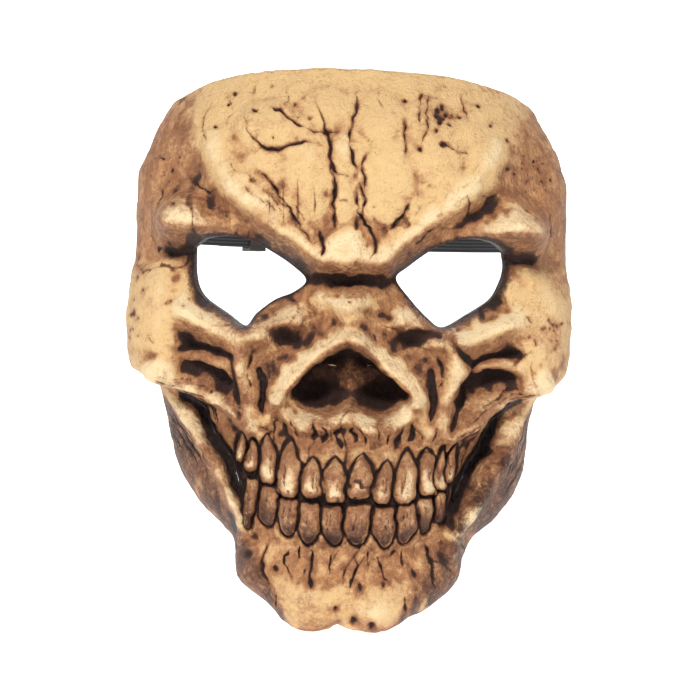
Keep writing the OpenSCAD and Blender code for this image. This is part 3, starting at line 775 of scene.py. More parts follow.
# %% Teeth
lump(1, -84, 33, 22, 10.5, sharp=3.2)                               # the arch they stand on
lump(1, -84, 20, 18, 3)
UPPER = [  # middle, root end, biting edge, width
    (-39.5, -64.5, -76, 4.6), (-35, -66.5, -79, 5.2), (-29, -64.5, -82.5, 6.8),
         (-21, -66, -87, 9.6),
    (-12.3, -71.5, -87, 8.6), (-3.6, -71.5, -88.8, 9.8), (6.3, -70.8, -86.6, 9.8),
         (14.6, -72.5, -88, 7.4),
    (22.8, -68.5, -87.8, 9.2), (30.8, -68, -85.8, 7.6), (36.4, -68.5, -83.8, 5.2),
         (40.6, -67, -80.5, 4.4)]
LOWER = [
    (-35, -100, -82.5, 4.6), (-28.2, -98.5, -84, 7.4), (-20.8, -102, -88, 7.6),
         (-12.8, -105.5, -89.3, 8.6),
    (-4, -105, -90.3, 8.8), (5.4, -104.5, -89.6, 9.8), (15, -105.5, -89.6, 9),
         (23.4, -103.5, -88.6, 7.6),
    (30.4, -100, -87, 6), (35.8, -96.5, -85, 4.6)]
bite = curve_through([(-44, -77), (-36, -80.5), (-28, -84), (-20, -87.4), (-10, -88.4), (1, -89.2),
                      (12, -88.8),
                      (22, -87.9), (30, -86.2), (37, -84), (43, -81)])
ridge(bite, 8.5, -1.8, sharp=4)
ridge(bite, 12, 0.5, sharp=4, sheet=paint["stain_and_shade"])
ridge(bite, 1.3, 0.8, sheet=paint["wash_and_shade"])


# darkening: how much darker the whole tooth is painted; it adds wash and stain and takes away pale
def tooth(middle, root, edge, width, height=5.2, darkening=0.0):
    way = 1 if root > edge else -1
    edge, width = edge - 0.6 * way, width + 0.2
    tall = abs(root - edge)
    s = np.linspace(0, 1, 21)
    half_w = width / 2 * np.sin(np.pi / 2 * np.clip(s / 0.62, 0, 1)) ** (0.75 if way > 0 else 0.55)
    half_w = half_w * np.sqrt(1 - (0.8 if way > 0 else 0.35) * np.clip((s - 0.7) / 0.3, 0,
                                                                       1) ** 2.5)
    down_line = root - way * tall * s
    centre = middle + rng.normal(0, 0.05) * (down_line - (root + edge) / 2)
    outline = np.vstack([np.column_stack([centre + half_w, down_line]),
                         np.column_stack([centre - half_w, down_line])[::-1]])
    i, j = reach(outline, 3.5)
    gap = inside(X[i, j], Z[i, j], outline)
    depth_in = np.clip(-gap / (0.47 * width), 0, 1)
    body = np.sqrt(1 - (1 - depth_in) ** 2)
    up = np.clip((Z[i, j] - edge) * way / tall, 0, 1)
    groove = np.exp(-((gap - 0.2) / 0.46) ** 2)
    H[i, j] += height * body * (1 - 0.3 * up) - 0.8 * groove
    H[i, j] += 0.9 * np.exp(-((gap - 1.8) / 0.8) ** 2) * ease(up, 0.35, 0.8)
    mask = ease(body, 0.3, 0.75)
    paint["wash_and_shade"][i, j] = (np.maximum(paint["wash_and_shade"][i, j], 0.8 * groove) * (1 - mask)
                          + mask * (0.1 + 0.5 * darkening * (0.4 + up)) * ease(up, -0.3, 0.9))
    # stain on the tooth: its overall darkening, more towards the root, and painted shade growing
    # towards the rim, where the round sides turn from the light
    paint["stain_and_shade"][i, j] = (paint["stain_and_shade"][i, j] * (1 - mask)
                            + mask * (darkening - 0.15 + 1.4 * ease(up, 0.2,
                                                                1) + 1.2 * (1 - depth_in) ** 1.6))
    # painted highlight: paler in the tooth's middle, away from its root, less on darker-painted
    # teeth
    paint["pale"][i, j] = (paint["pale"][i, j] * (1 - mask)
                           + (0.9 - darkening) * mask * ease(0.66 - up, 0, 0.5)
                           * ease(depth_in, 0.2, 0.7))
    paint["tooth"][i, j] = np.maximum(paint["tooth"][i, j], mask)
    for k in range(rng.integers(1, 3)):
        a = middle + rng.uniform(-0.24, 0.24) * width
        high = edge + way * tall * rng.uniform(0.45, 0.75)
        low = edge + way * tall * rng.uniform(0.1, 0.35)
        crack([(a, high), (a + rng.normal(0, 0.3), (high + low) / 2),
               (a + rng.normal(0, 0.4), low)],
              0.34, 0.5, wash_and_shade=0.75, wander=0.12)


# the lower teeth are painted much darker than the upper ones
for shape in LOWER:
    tooth(*shape, height=4.6, darkening=0.85)
for shape in UPPER:
    tooth(*shape, darkening=0.1)
for k in range(18):
    line = bite[rng.integers(8, len(bite) - 8)]
    pit(line[0] + rng.normal(0, 1), line[1] + rng.choice([-8, -5, 5, 8]) + rng.normal(0, 1), 0.4,
        0.5, 0.6)
for x in np.linspace(-30, 32, 16):                      # gum folds above the roots
    fold = [(x + rng.normal(0, 1.6), -59.5 + rng.normal(0, 1.6)), (x + rng.normal(0, 1.2), -63.5),
            (x * 0.98, -66.5 + rng.normal(0, 1.6))]
    crack(fold, rng.uniform(0.4, 1.25), 1.4, wash_and_shade=0.75)
    ridge(fold, 1.5, 0.35, sheet=paint["stain_and_shade"])
print(len(UPPER) + len(LOWER), "teeth")

# %% [markdown]
# ## Chin
# Two round lobes make the chin, with a cleft between them and a bulge at each corner of the
# jaw. The lower gum above them is split by upright cracks.

# %% Chin
lump(-12.5, -127, 11.5, 9.5, 7.5, sharp=2.4), lump(13, -126, 12, 9.5, 7.5, sharp=2.4)
lump(-34.6, -115, 8, 9, 5, sharp=2.6), lump(40.6, -116, 8.5, 9.5, 6.5, sharp=2.6)
lump(-24, -119, 7, 7, 2.5), lump(29, -121, 8, 8, 6)
lump(-1, -112, 20, 7, 2.5)
ridge([(-1.2, -137), (-1.3, -132), (0, -124)], 2.4, -1.5, ends=(1, 0.3))
lump(4.5, -130, 2.4, 2, -1.6), lump(11, -130, 1.8, 1.6, -1.4)
for points, width, depth_mm in [([(-12, -107), (-11, -114), (-12, -121)], 0.9, 1.6),
                                ([(4, -108), (5, -114), (3, -122)], 0.8, 1.4),
                                ([(-20, -106), (-21, -112), (-19, -118)], 0.8, 1.4),
                                ([(13, -108), (14, -114), (18, -119)], 0.8, 1.4),
                                ([(22, -107), (23, -113)], 0.8, 1.3),
                                ([(-4, -108), (-4.5, -116)], 0.7, 1.2),
                                ([(-27, -104), (-29, -112), (-26, -120)], 0.9, 1.6),
                                ([(30, -104), (32, -112), (33, -119)], 0.9, 1.6),
                                ([(-23, -122), (-24, -128)], 0.7, 1.0),
                                ([(23, -121), (24, -127)], 0.7, 1.0),
                                ([(9, -106), (9.5, -112)], 0.6, 1.0),
                                ([(-16, -105), (-16, -111)], 0.6, 1.0),
                                ([(-39, -104), (-41, -111)], 0.7, 1.0),
                                ([(42, -104), (45, -111)], 0.7, 1.0)]:
    crack(points, width, depth_mm)
for x, z, r in [(4.5, -130.5, 1.1), (11, -130.5, 1.1), (7, -119.5, 1.1), (-11.5, -118.5, 1.2),
                (-13.5, -115, 0.9),
                (-24, -114.5, 1.1), (-34.5, -109.5, 1.0), (26.5, -114.5, 1.0), (15, -118.5, 0.8),
                (-2, -127, 0.7)]:
    pit(x, z, r)
print("relief:", round(H.min(), 1), "to", round(H.max(), 1), "mm")

# %% [markdown]
# ## Paint, painted shade and painted highlight that follow the form
# Real masks are dipped in a dark wash and wiped, so the wash stays in every groove and the
# high spots are rubbed pale. The same is worked out here: the relief is compared with
# blurred copies of itself, which tells hollow from high at three sizes. The hollows are
# darkened past the wash as painted shade and the high spots lightened as painted highlight;
# faces turned down get painted shade, faces turned up painted highlight, and the jaw's side
# panels are painted dark as shade.

# %% Paint from the relief
X, Z = flat_X, flat_Z
RIVET_X, RIVET_Z = 99.5, 20                # with the side walls laid out flat
from_rivet = np.hypot(X - sign * RIVET_X, Z - RIVET_Z)
quiet = 1 - np.exp(-(from_rivet / 13.0) ** 2)                # flat under the rivets
quiet *= 1 - 0.75 * ease(along, 0.1, 0.5)[None, :]
H *= np.where(along[None, :] > 0, quiet, 1)
side_zone = 0.85 * ease(np.abs(facing), 0.85, 1.3)[None, :] * ease(72 - Z, 0, 8)
H += side_zone * (blur(H, 3.5) - H)                          # a smooth outline from the front
muzzle = ease(62 - np.abs(X), 0, 8) * ease(-Z, 22, 30) * ease(Z, -106, -98)
H += 0.22 * muzzle * (blur(H, 0.8) - blur(H, 9))             # deeper round the mouth
calm = 1 - 0.8 * paint["tooth"]
worn = ease(grain(26, 5), -0.5, 0.6)
H += calm * (0.34 * grain(7, 11, warp=0.4) + 0.22 * grain(3.2, 12) + 0.13 * grain(1.7, 13))
pores = ease(grain(2.1, 21), 0.5, 0.85) * ease(grain(17, 22), 0.0, 0.6)
H -= 0.55 * pores
split = 1 - np.abs(grain(8.5, 31, 0.75, 1.5, warp=1.1))
hair = calm * ease(split, 0.9, 0.985) * ease(grain(22, 33), 0.05, 0.5)
H -= 0.4 * hair
crumple = (np.exp(-(((np.abs(X) - 15) / 13) ** 2 + ((Z + 20) / 11) ** 2))
           + 0.7 * ease(-Z, 56, 62) * ease(Z, -72, -64) * ease(34 - np.abs(X), 0, 6))
crumple += 0.8 * ease(-Z, 100, 106) * ease(Z, -122, -112) * ease(44 - np.abs(X), 0, 8)
H += crumple * (1.1 * grain(5.5, 61, warp=0.8) + 0.6 * grain(2.6, 62, warp=0.5))
split = 1 - np.abs(grain(7, 67, 0.8, 1.3, warp=1.2))
seams = 0.6 * crumple.clip(0, 1) * ease(split, 0.9, 0.985)
H -= 0.9 * seams
H += 0.6 * grain(11, 71, warp=0.7) * ease(Z, 8, 26)
H *= 1 - np.exp(-(from_rivet / 24.0) ** 6)                   # room for the swinging strap
soft = blur(H, 0.6)
# how steeply the relief faces down; it drives the painted shade and highlight below
down = np.gradient(blur(H, 1.6), axis=0) / np.minimum(np.gradient(Z, axis=0), -0.2)
fine = blur(soft, 1.2) - soft
middle = blur(soft, 3.2) - soft
broad = blur(soft, 8) - soft
near_teeth = 1 - 0.7 * np.clip(1.4 * blur(paint["tooth"], 1.2), 0, 1)
# the hollows take the dark wash and, on top of it, painted shade
hollow = 0.6 * ease(fine, 0.2, 0.7) + 0.42 * ease(middle, 0.8, 2.4) + 0.4 * ease(broad, 2.5, 6.5)
wash_and_shade = paint["wash_and_shade"] + near_teeth * hollow
# faces turned down get painted shade; pores, hairline splits and seams hold real wash
wash_and_shade += 0.3 * ease(down, 0.75, 1.7) + 0.5 * pores * worn + 0.45 * hair + 0.55 * seams
# the hollows are stained browner, partly stain and partly painted shade
stain_and_shade = (paint["stain_and_shade"] + 0.5 * ease(fine, 0.04, 0.35) + 1.0 * ease(middle, -0.25, 1.4)
         + 0.65 * ease(broad, 0.2, 3.5))
# faces turned down are stained browner as painted shade; pores, splits, seams and crumples hold
# real stain
stain_and_shade += (0.75 * ease(down, 0.18, 1.1) + 0.35 * pores + 0.4 * hair + 0.5 * seams + 0.25 * crumple
          + 0.3 * ease(grain(15, 41, warp=0.6), 0.05, 0.8))
# high spots are paler, partly rubbed bone and partly painted highlight
pale = (paint["pale"] + 0.5 * ease(-middle, 0.05, 1.4) + 0.35 * ease(-broad, 0.4, 3.2)
        - 0.5 * ease(fine, 0, 0.3))
# faces turned up are paler as painted highlight, faces turned down less pale as painted shade
pale += 0.35 * ease(-down, 0.1, 0.8) - 0.5 * ease(down, 0.1, 0.6)
cheek = ease(Z, -47, -41) * ease(-Z, 2, 12) * ease(np.abs(X), 60, 68)
stain_and_shade += (0.5 * ease(np.abs(X), 64, 82) * (1 - 0.75 * cheek)
          + 0.45 * ease(np.abs(X), 46, 58) * ease(-Z, 48, 60))
patchy = 0.7 + 0.4 * grain(9, 51, warp=0.8) + 0.3 * grain(3.5, 52, warp=0.5)
low = Z + 6 * grain(15, 97)
stain_and_shade += 0.35 * ease(-low, 104, 118) * (0.6 + grain(8, 99, warp=0.6))
region = 0.75 * ease(np.abs(X), 60, 69) * ease(Z, -2, 12)    # temples
region += 0.4 * ease(-low, 30, 56) * ease(66 - np.abs(X), 0, 16) * ease(low, -122, -104)
jaw_side = np.abs(X) - 0.62 * (Z + 50)                       # grows past the jaw's front edge
under_cheek = ease(-Z, 46, 56)
# painted shade: the jaw's side panels, which turn away from the light, are stained darker
region += 0.95 * ease(jaw_side, 66, 71) * under_cheek
region += 0.08 * ease(-Z, 4, 20) + 0.1
stain_and_shade += region * patchy * (1 - 0.85 * paint["tooth"])
pale += 0.05 * cheek
stain_and_shade *= 1 - 0.34 * ease(Z, 8, 20) * ease(56 - np.abs(X), 0, 8)     # the forehead is wiped cleaner
fibre = 0.5 + 0.5 * grain(2.0, 93, 1.0, 7.0, warp=0.25)
# and darkened with wash as painted shade, streaked along their grain
wash_and_shade += (0.26 + 0.42 * fibre) * ease(jaw_side, 67, 71.5) * under_cheek
wash_and_shade += paint["nose"] * (0.42 + 0.12 * grain(5, 95) - 0.5 * wash_and_shade.clip(0, 1))
stain_and_shade += 0.8 * paint["nose"]
pale *= 1 - paint["nose"]
gloss = paint["gloss"] + 0.3 * paint["tooth"]
print("share of the skin under dark wash:", round(float((wash_and_shade > 0.5).mean()), 3))

# %% [markdown]
# ## Openings, thickness and one closed skin
# Both eye openings are cut with a knife in the real mask. Here, squares of the sheet
# inside an outline are dropped and the corners next to it are moved onto it, on
# the outer and the inner side alike. The wall between the two sides then closes the rim.
# The inner side is smoother than the outer one, because liquid latex fills small detail.

# %% Outer and inner side
EYE_L = curve_through([(-59.5, 5), (-59.6, -5), (-56.5, -13), (-46, -20), (-38.7, -24.3),
                       (-35, -19.5), (-28, -14),
                       (-21, -11), (-16.5, -6.5), (-22, -1), (-30, 4), (-37, 7.5), (-46, 9.2),
                       (-54, 8.3), (-59.5, 5)], 1.0)[:-1]
EYE_R = curve_through([(58, 6.5), (59.3, 0), (58, -6), (54.4, -12), (45, -18), (35.5, -23),
                       (29.5, -19.5), (22.5, -12),
                       (17.5, -5), (22, -0.5), (30, 5.5), (37, 9), (45, 10.5), (52, 9.7),
                       (58, 6.5)], 1.0)[:-1]
cut = np.full(X.shape, 1e3)
for outline in (EYE_L, EYE_R):
    i, j = reach(outline, 6)
    cut[i, j] = np.minimum(cut[i, j], inside(X[i, j], Z[i, j], outline))
for outline in (EYE_L, EYE_R):                        # sticky dark edge round each eye
    i, j = reach(outline, 6)
    gap = np.maximum(cut[i, j], 0)
    low = ease(-Z[i, j], -4, 8) * ease(np.abs(X[i, j]), 32, 44)
    near = np.exp(-(gap / (1.3 + 1.6 * low)) ** 2)
    wash_and_shade[i, j] += 0.8 * near
    stain_and_shade[i, j] += 0.7 * np.exp(-(gap / 3.4) ** 2)
    gloss[i, j] += 0.35 * near * ease(-Z[i, j], -4, 6)
    H[i, j] -= 1.2 * np.exp(-(gap / 1.6) ** 2) * ease(-Z[i, j], -6, 4)

outer = plain + raise_way * H[:, :, None]
inner_relief = np.minimum(blur(thicken(H, WALL), 0.9), H + 0.5)
inner = plain + raise_way * inner_relief[:, :, None] - wall_way * WALL

slope_z, slope_x = np.gradient(cut)
dx = np.gradient(X, axis=1)
dz = np.gradient(Z, axis=0)
gx = slope_x / np.where(np.abs(dx) < 1e-6, 1e-6, dx)
gz = slope_z / np.where(np.abs(dz) < 1e-6, 1e-6, dz)
size = np.maximum(np.hypot(gx, gz), 1e-6)
gx, gz = gx / size, gz / size
hole = cut < 0
corners = np.stack([hole[:-1, :-1], hole[:-1, 1:], hole[1:, 1:], hole[1:, :-1]])
gone = corners.all(axis=0)
mixed = corners.any(axis=0) & ~gone
edge = np.zeros(hole.shape, bool)
for di in (0, 1):
    for dj in (0, 1):
        edge[di:di + mixed.shape[0], dj:dj + mixed.shape[1]] |= mixed
snap = edge & hole
for side_points in (outer, inner):
    side_points[snap, 0] -= (cut * gx)[snap]
    side_points[snap, 2] -= (cut * gz)[snap]
print("openings drop", int(gone.sum()), "squares and move", int(snap.sum()), "corners")

# %% One closed mesh
index = np.arange(N_ROWS * N_COLS).reshape(N_ROWS, N_COLS)
total = N_ROWS * N_COLS
keep = ~gone
quad = np.stack([index[:-1, :-1], index[:-1, 1:], index[1:, 1:], index[1:, :-1]], axis=2)[keep]
pairs = np.vstack([quad[:, [0, 1]], quad[:, [1, 2]], quad[:, [2, 3]], quad[:, [3, 0]]])
code = np.minimum(pairs[:, 0], pairs[:, 1]) * total + np.maximum(pairs[:, 0], pairs[:, 1])
_, first, counts = np.unique(code, return_index=True, return_counts=True)
rim = pairs[first[counts == 1]]
faces = np.vstack([quad, quad[:, ::-1] + total,
                   np.column_stack([rim[:, 1], rim[:, 0], rim[:, 0] + total, rim[:, 1] + total])])
points = np.vstack([outer.reshape(-1, 3), inner.reshape(-1, 3)]) * MM
used = np.unique(faces)
renumber = np.full(2 * total, -1)
renumber[used] = np.arange(len(used))
skin_mesh = bpy.data.meshes.new("skull_skin")
skin_mesh.from_pydata(points[used].tolist(), [], renumber[faces].tolist())
colour = np.zeros((2 * total, 4))
colour[:total] = np.stack([wash_and_shade, stain_and_shade, pale, gloss], axis=2).reshape(-1, 4).clip(0, 1)
colour[total:, 1] = 0.35
colour[total:, 0] = (0.95 * np.exp(-(np.maximum(cut, 0) / 1.2) ** 2)).ravel()
colour[total:, 3] = (0.25 * np.exp(-(np.maximum(cut, 0) / 1.2) ** 2)).ravel()
attribute = skin_mesh.color_attributes.new("paint", "FLOAT_COLOR", "POINT")
attribute.data.foreach_set("color", colour[used].ravel())
side_of = np.zeros(len(faces), int)
side_of[len(quad):2 * len(quad)] = 1
skin_mesh.polygons.foreach_set("material_index", side_of)
skin_mesh.shade_smooth()
skin_mesh.update()
skin = add_object("skull_skin", skin_mesh)
print("skin has", len(skin_mesh.polygons), "squares before thinning")

# %% [markdown]
# The sheet is finer than it needs to be where the skin is plain. Decimate merges its
# smallest steps and keeps the grooves. A vertex group guards the places where the wash, stain
# and painted shade change quickly, so that painted lines stay sharp.

# %% Thin the mesh
LIMIT = 190000
change = np.hypot(*np.gradient(wash_and_shade.clip(0, 1))) + 0.4 * np.hypot(*np.gradient(stain_and_shade.clip(0, 1)))
guard = np.zeros(2 * total)
guard[:total] = (0.25 + 6 * change).clip(0, 1).ravel()
guard[:total] = np.maximum(guard[:total], (np.abs(cut) < 1.2).ravel())
guard[total:] = (0.9 * (np.abs(cut) < 1.2)).ravel()
group = skin.vertex_groups.new(name="guard")
level = np.round(guard[used] * 10).astype(int)
for step_value in range(1, 11):
    chosen = np.nonzero(level == step_value)[0]
    if len(chosen):
        group.add(chosen.tolist(), step_value / 10, "REPLACE")
thin = skin.modifiers.new("thin", "DECIMATE")
thin.ratio = LIMIT / (2 * len(skin_mesh.polygons))
thin.use_collapse_triangulate = True
thin.vertex_group = "guard"
thin.invert_vertex_group = True
thin.vertex_group_factor = 1.0
depsgraph = bpy.context.evaluated_depsgraph_get()
result = bpy.data.meshes.new_from_object(skin.evaluated_get(depsgraph))
skin.modifiers.clear()
skin.vertex_groups.clear()
skin.data = result
skin.data.name = "skull_skin"
skin.data.shade_smooth()
print("skin has", sum(len(p.vertices) - 2 for p in skin.data.polygons), "triangles")

# %% [markdown]
# ## Bone paint
# The skin is cream latex under a warm bone colour, an orange-brown stain in the shallows and
# a nearly black wash in the deep; both also carry painted shade, and the paler bone on high
# spots is partly rubbed and partly painted highlight. Noise at three scales breaks each edge,
# so that no colour stops on a clean line. The wash is glossy where it pooled; the rubbed bone is
# satin.

# %% Bone paint
def bone_paint():
    net = Net("bone_paint")
    place = net.make("ShaderNodeTexCoord", out=3)
    channels = net.make("ShaderNodeAttribute", settings={"attribute_name": "paint"})
    split = net.make("ShaderNodeSeparateColor", Color=channels)
    node = split.socket.node
    wash_and_shade_in, stain_and_shade_in, pale_in = (Wire(net, node.outputs[k]) for k in range(3))
    gloss_in = Wire(net, channels.socket.node.outputs["Alpha"])
    cloud = net.noise(place, 45, 4, 0.6)
    blotch = net.noise(place, 150, 5, 0.62, distortion=0.4)
    speck = net.noise(place, 620, 4, 0.7)
    grain = net.noise(place, 260, 4, 0.6, stretch=(1.6, 1.6, 0.35))
    pepper = net.noise(place, 1500, 2, 0.6)

    # The first channel holds the dark wash and painted shade, the second stain and painted shade,
    # the third rubbed bone and painted highlight.
    dark_share = (wash_and_shade_in + (speck - 0.5) * 0.8 + (blotch - 0.5) * 0.5).over(0.18, 0.78)
    tan = (stain_and_shade_in * 0.95 + (blotch - 0.5) * 1.3 + (cloud - 0.5) * 0.6
           + (speck - 0.5) * 1.3).over(0.05, 1.0)
    rub_and_highlight = (pale_in + (cloud - 0.5) * 0.9 + (speck - 0.5) * 0.3).over(0.1, 1.0)
    red_brown = (stain_and_shade_in * 0.72 + wash_and_shade_in * 0.5 + (blotch - 0.47) * 1.4 + (grain - 0.5) * 0.8
            + (speck - 0.5) * 0.8).over(0.45, 1.15)

    bone = net.mix(rub_and_highlight, (0.70, 0.465, 0.22), (0.83, 0.64, 0.38))
    bone = net.mix(tan * 0.92, bone, (0.42, 0.19, 0.078))
    bone = net.mix(red_brown * 0.85, bone, (0.19, 0.066, 0.03))
    freckle = (pepper + (blotch - 0.5) * 0.5).over(0.62, 0.78) * 0.6
    bone = net.mix(freckle, bone, (0.28, 0.12, 0.05))
    dark = net.mix(dark_share * 0.96, bone, (0.033, 0.0125, 0.009))
    deepest_dark = (wash_and_shade_in + gloss_in * 0.4 + (speck - 0.5) * 0.3).over(0.8, 1.15)
    colour = net.mix(deepest_dark * 0.7, dark, (0.010, 0.006, 0.006))

    wet = (gloss_in + (blotch - 0.5) * 0.4).over(0.2, 0.7)
    rough = 0.52 + (speck - 0.5) * 0.3 - wet * 0.3
    height = blotch * 0.45 + speck * 0.5 + grain * 0.3 + pepper * 0.3
    net.set(Base_Color=colour, Roughness=rough.clamp(), Normal=net.bump(height, 0.0028, 1.0),
            Specular_IOR_Level=0.3, Coat_Weight=wet * 0.4, Coat_Roughness=0.15)
    return net.material


def bare_latex():
    net = Net("bare_latex")
    place = net.make("ShaderNodeTexCoord", out=3)
    cloud = net.noise(place, 38, 4, 0.6)
    streak = net.noise(place, 160, 4, 0.6, stretch=(1, 1, 0.3))
    speck = net.noise(place, 900, 3, 0.6)
    colour = net.mix((cloud * 1.3 - 0.15).clamp(), (0.62, 0.43, 0.20), (0.74, 0.58, 0.33))
    colour = net.mix((streak - 0.35).over(0.1, 0.45) * 0.45, colour, (0.46, 0.27, 0.10))
    net.set(Base_Color=colour, Roughness=0.55 + (speck - 0.5) * 0.2,
            Normal=net.bump(streak * 0.5 + speck * 0.25, 0.0006, 0.6))
    return net.material


skin.data.materials.append(bone_paint())
skin.data.materials.append(bare_latex())
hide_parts("face_skin")
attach(skin, "mask")
print("skin painted")

# %% [markdown]
# ## Elastic strap
# The strap is flat woven elastic, which the CAD solids already show at its true size, folded
# round its buckle. Their meshes stay, and the weave is painted. A length coordinate that
# grows along the sides and on across the back comes from Y and the size of X, so the ribs
# run lengthwise and the weft crosses them everywhere.

# %% Elastic strap
def dress(material, *nodes):
    """Gives CAD nodes a material in place of their plain one."""
    for name in nodes:
        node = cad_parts[name]
        if not node.material_slots:
            node.data.materials.append(material)
        for place in node.material_slots:
            place.material = material
    print(material.name, "on", ", ".join(nodes))


def axes_of(net):
    place = net.make("ShaderNodeTexCoord", out=3)
    outputs = net.make("ShaderNodeSeparateXYZ", Vector=place).socket.node.outputs
    return place, *(Wire(net, outputs[k]) for k in range(3))


def wave(value, pitch, shift=0.0):
    """0..1 and back once every pitch."""
    turn = value * (2 * math.pi / pitch) + shift
    return turn._math("SINE", turn, 0.0) * 0.5 + 0.5


def woven_elastic():
    net = Net("woven_elastic")
    place, x, y, z = axes_of(net)
    length = y - x._math("ABSOLUTE", x, 0.0)
    rib_pitch, weft_pitch = 1.4 * MM, 1.1 * MM
    rib = wave(z, rib_pitch)
    lane = z * (1 / rib_pitch)
    weft = wave(length, weft_pitch, lane._math("FLOOR", lane, 0.0) * math.pi)
    lint = net.noise(place, 1400, 3, 0.7)
    cloud = net.noise(place, 60, 3, 0.5)
    height = rib * 0.6 + weft * rib * 0.45 + lint * 0.25
    # painted shade and highlight: darker between the ribs and weft threads, lighter on their tops,
    # with random cloud
    shade = (height * 0.7 + (cloud - 0.5) * 0.5).over(0.1, 1.0)
    colour = net.mix(shade, (0.010, 0.010, 0.012), (0.052, 0.052, 0.060))
    colour = net.mix(lint.over(0.66, 0.8) * 0.5, colour, (0.16, 0.155, 0.15))
    net.set(Base_Color=colour, Roughness=0.72 + (lint - 0.5) * 0.3,
            Normal=net.bump(height, 0.0003, 0.9), Sheen_Weight=0.08, Specular_IOR_Level=0.25)
    return net.material


dress(woven_elastic(), "left_strap", "right_strap")

# %% [markdown]
# ## Sewn bars
# The strap's end is folded back and sewn with seven short bars of satin stitch. Geometry
# Nodes lay them: a grid gives one point for each thread, a rounded thread stands on every
# point, and neighbours lean opposite ways. The sizes are inputs, so other bars can be laid by
# changing numbers.

# %% Node tree helper
def node_group(name, inputs):
    """A Geometry Nodes tree with named inputs. Returns the tree, its inputs, and a helper that adds
    nodes.
    """
    tree = bpy.data.node_groups.new(name, "GeometryNodeTree")
    tree.interface.new_socket("Geometry", in_out="OUTPUT", socket_type="NodeSocketGeometry")
    for label, kind in inputs.items():
        tree.interface.new_socket(label, in_out="INPUT", socket_type="NodeSocket" + kind)
    source = tree.nodes.new("NodeGroupInput")

    def add(kind, settings=None, **values):
        node = tree.nodes.new(kind)
        for key, value in (settings or {}).items():
            setattr(node, key, value)
        for key, value in values.items():
            socket = node.inputs[int(key[1:]) if key[1:].isdigit() else key.replace("_", " ")]
            if isinstance(value, bpy.types.NodeSocket):
                tree.links.new(value, socket)
            else:
                socket.default_value = value
        return node

    return tree, source.outputs, add


def grow(name, tree, values):
    """Runs a tree on an empty object and returns its result as a plain mesh object."""
    holder = add_object(name, bpy.data.meshes.new(name))
    modifier = holder.modifiers.new("nodes", "NODES")
    modifier.node_group = tree
    for item in tree.interface.items_tree:
        if item.in_out == "INPUT" and item.name in values:
            modifier[item.identifier] = values[item.name]
    depsgraph = bpy.context.evaluated_depsgraph_get()
    result = bpy.data.meshes.new_from_object(holder.evaluated_get(depsgraph))
    holder.modifiers.clear()
    holder.data = result
    result.name = name
    result.shade_smooth()
    return holder


print("node tree helper ready")

# %% Sewn bars
def polyester_thread():
    net = Net("polyester_thread")
    place, x, y, z = axes_of(net)
    twist = wave(x + z * 0.8, 0.00028)
    fuzz = net.noise(place, 2600, 3, 0.7)
    # painted highlight and shade: lighter along each ply of the twist, darker between them
    colour = net.mix((twist * 0.7 + fuzz * 0.3), (0.022, 0.022, 0.025), (0.10, 0.10, 0.11))
    net.set(Base_Color=colour, Roughness=0.5 + (fuzz - 0.5) * 0.3,
            Normal=net.bump(twist * 0.7 + fuzz * 0.3, 0.00006, 0.8), Sheen_Weight=0.2)
    return net.material


def stitch_tree():
    tree, given, add = node_group("stitch_bars", {
        "Width": "Float", "Height": "Float", "Bars": "Int", "Threads": "Int", "Thread": "Vector",
        "Place": "Vector", "Lean": "Float", "Material": "Material"})
    grid = add("GeometryNodeMeshGrid", Size_X=given["Width"], Size_Y=given["Height"],
               Vertices_X=given["Threads"], Vertices_Y=given["Bars"])
    upright = add("GeometryNodeTransform", Geometry=grid.outputs["Mesh"],
                  Rotation=(math.pi / 2, 0, 0),
                  Translation=given["Place"])
    ball = add("GeometryNodeMeshIcoSphere", Radius=1.0, Subdivisions=2)
    thread = add("GeometryNodeTransform", Geometry=ball.outputs["Mesh"], Scale=given["Thread"])
    index = add("GeometryNodeInputIndex")
    column = add("ShaderNodeMath", {"operation": "DIVIDE"}, i0=index.outputs[0], i1=given["Bars"])
    whole = add("ShaderNodeMath", {"operation": "FLOOR"}, i0=column.outputs[0])
    parity = add("ShaderNodeMath", {"operation": "MODULO"}, i0=whole.outputs[0], i1=2.0)
    way = add("ShaderNodeMath", {"operation": "MULTIPLY_ADD"}, i0=parity.outputs[0], i1=2.0,
              i2=-1.0)
    lean = add("ShaderNodeMath", {"operation": "MULTIPLY"}, i0=way.outputs[0], i1=given["Lean"])
    turn = add("ShaderNodeCombineXYZ", Y=lean.outputs[0])
    placed = add("GeometryNodeInstanceOnPoints", Points=upright.outputs["Geometry"],
                 Instance=thread.outputs["Geometry"], Rotation=turn.outputs[0])
    real = add("GeometryNodeRealizeInstances", Geometry=placed.outputs["Instances"])
    done = add("GeometryNodeSetMaterial", Geometry=real.outputs[0], Material=given["Material"])
    end = tree.nodes.new("NodeGroupOutput")
    tree.links.new(done.outputs[0], end.inputs[0])
    return tree


low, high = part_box("strap_stitches")
stitches = grow("sewn_bars", stitch_tree(), {
    "Width": high.x - low.x - 0.5 * MM, "Height": high.z - low.z - 0.8 * MM, "Bars": 7,
                                             "Threads": 9,
    "Thread": (0.27 * MM, 0.19 * MM, 0.52 * MM),
    "Place": ((low.x + high.x) / 2, low.y + 0.19 * MM, (low.z + high.z) / 2),
    "Lean": 0.35, "Material": polyester_thread()})
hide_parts("strap_stitches")
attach(stitches, "strap")
print("sewn bars:", len(stitches.data.polygons), "faces")

# %% [markdown]
# ## Buckle, keeper and rivets
# These are hard parts whose CAD shape is right, so they keep their meshes. The plastic has
# the fine grain of a mould with a few shiny scuffs. The rivets are brass that has dulled
# unevenly, and the washers are milky nylon.

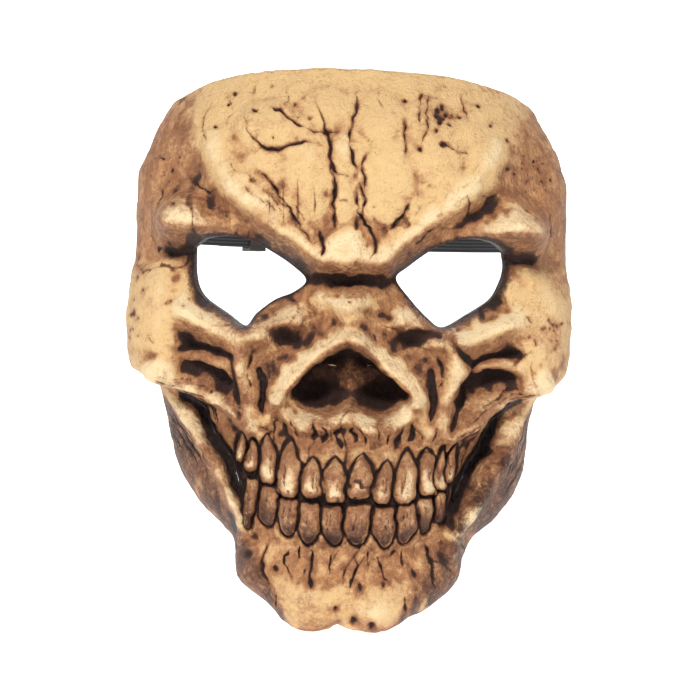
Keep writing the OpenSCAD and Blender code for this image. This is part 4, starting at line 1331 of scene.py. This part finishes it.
# %% Hard parts
def moulded_plastic():
    net = Net("moulded_plastic")
    place = net.make("ShaderNodeTexCoord", out=3)
    grit = net.noise(place, 2600, 3, 0.6)
    cloud = net.noise(place, 140, 4, 0.6)
    scuff = net.noise(place, 420, 3, 0.7, stretch=(1, 1, 4))
    mark = scuff.over(0.6, 0.72)
    colour = net.mix(cloud, (0.010, 0.010, 0.011), (0.024, 0.024, 0.026))
    colour = net.mix(mark * 0.5, colour, (0.06, 0.06, 0.062))
    net.set(Base_Color=colour, Roughness=0.42 + (cloud - 0.5) * 0.25 + mark * 0.15,
            Normal=net.bump(grit + mark * 0.4, 0.00012, 0.6))
    return net.material


def dull_brass():
    net = Net("dull_brass")
    place = net.make("ShaderNodeTexCoord", out=3)
    cloud = net.noise(place, 260, 5, 0.65)
    scratch = net.noise(place, 900, 4, 0.7, stretch=(1, 0.25, 1.6))
    tarnish = (cloud + (scratch - 0.5) * 0.5).over(0.42, 0.68)
    colour = net.mix(tarnish, (0.62, 0.44, 0.20), (0.23, 0.14, 0.06))
    net.set(Base_Color=colour, Metallic=1.0 - tarnish * 0.25,
            Roughness=0.26 + tarnish * 0.3 + scratch * 0.1,
            Normal=net.bump(scratch + cloud * 0.6, 0.0001, 0.6))
    return net.material


def milky_nylon():
    net = Net("milky_nylon")
    place = net.make("ShaderNodeTexCoord", out=3)
    cloud = net.noise(place, 180, 3, 0.5)
    grit = net.noise(place, 1800, 3, 0.6)
    colour = net.mix(cloud, (0.60, 0.57, 0.50), (0.76, 0.74, 0.68))
    net.set(Base_Color=colour, Roughness=0.38 + (grit - 0.5) * 0.2,
            Normal=net.bump(grit, 0.00008, 0.5))
    return net.material


def gauze_backing():
    """Cream latex brushed over gauze, whose threads show through it."""
    net = Net("gauze_backing")
    place, x, y, z = axes_of(net)
    cloth = wave(y, 0.0012) * 0.5 + wave(z, 0.0012) * 0.5
    cloud = net.noise(place, 120, 4, 0.6)
    grit = net.noise(place, 1200, 3, 0.6)
    colour = net.mix(cloud, (0.56, 0.38, 0.17), (0.70, 0.54, 0.31))
    colour = net.mix((1 - cloth) * 0.35, colour, (0.40, 0.24, 0.10))
    net.set(Base_Color=colour, Roughness=0.55 + (grit - 0.5) * 0.2,
            Normal=net.bump(cloth + grit * 0.4, 0.00018, 0.8))
    return net.material


dress(moulded_plastic(), "strap_buckle", "strap_keeper")
dress(dull_brass(), "left_rivet", "right_rivet", "left_rivet_cap", "right_rivet_cap")
dress(milky_nylon(), "left_washer", "right_washer")
dress(gauze_backing(), "left_patch", "right_patch")
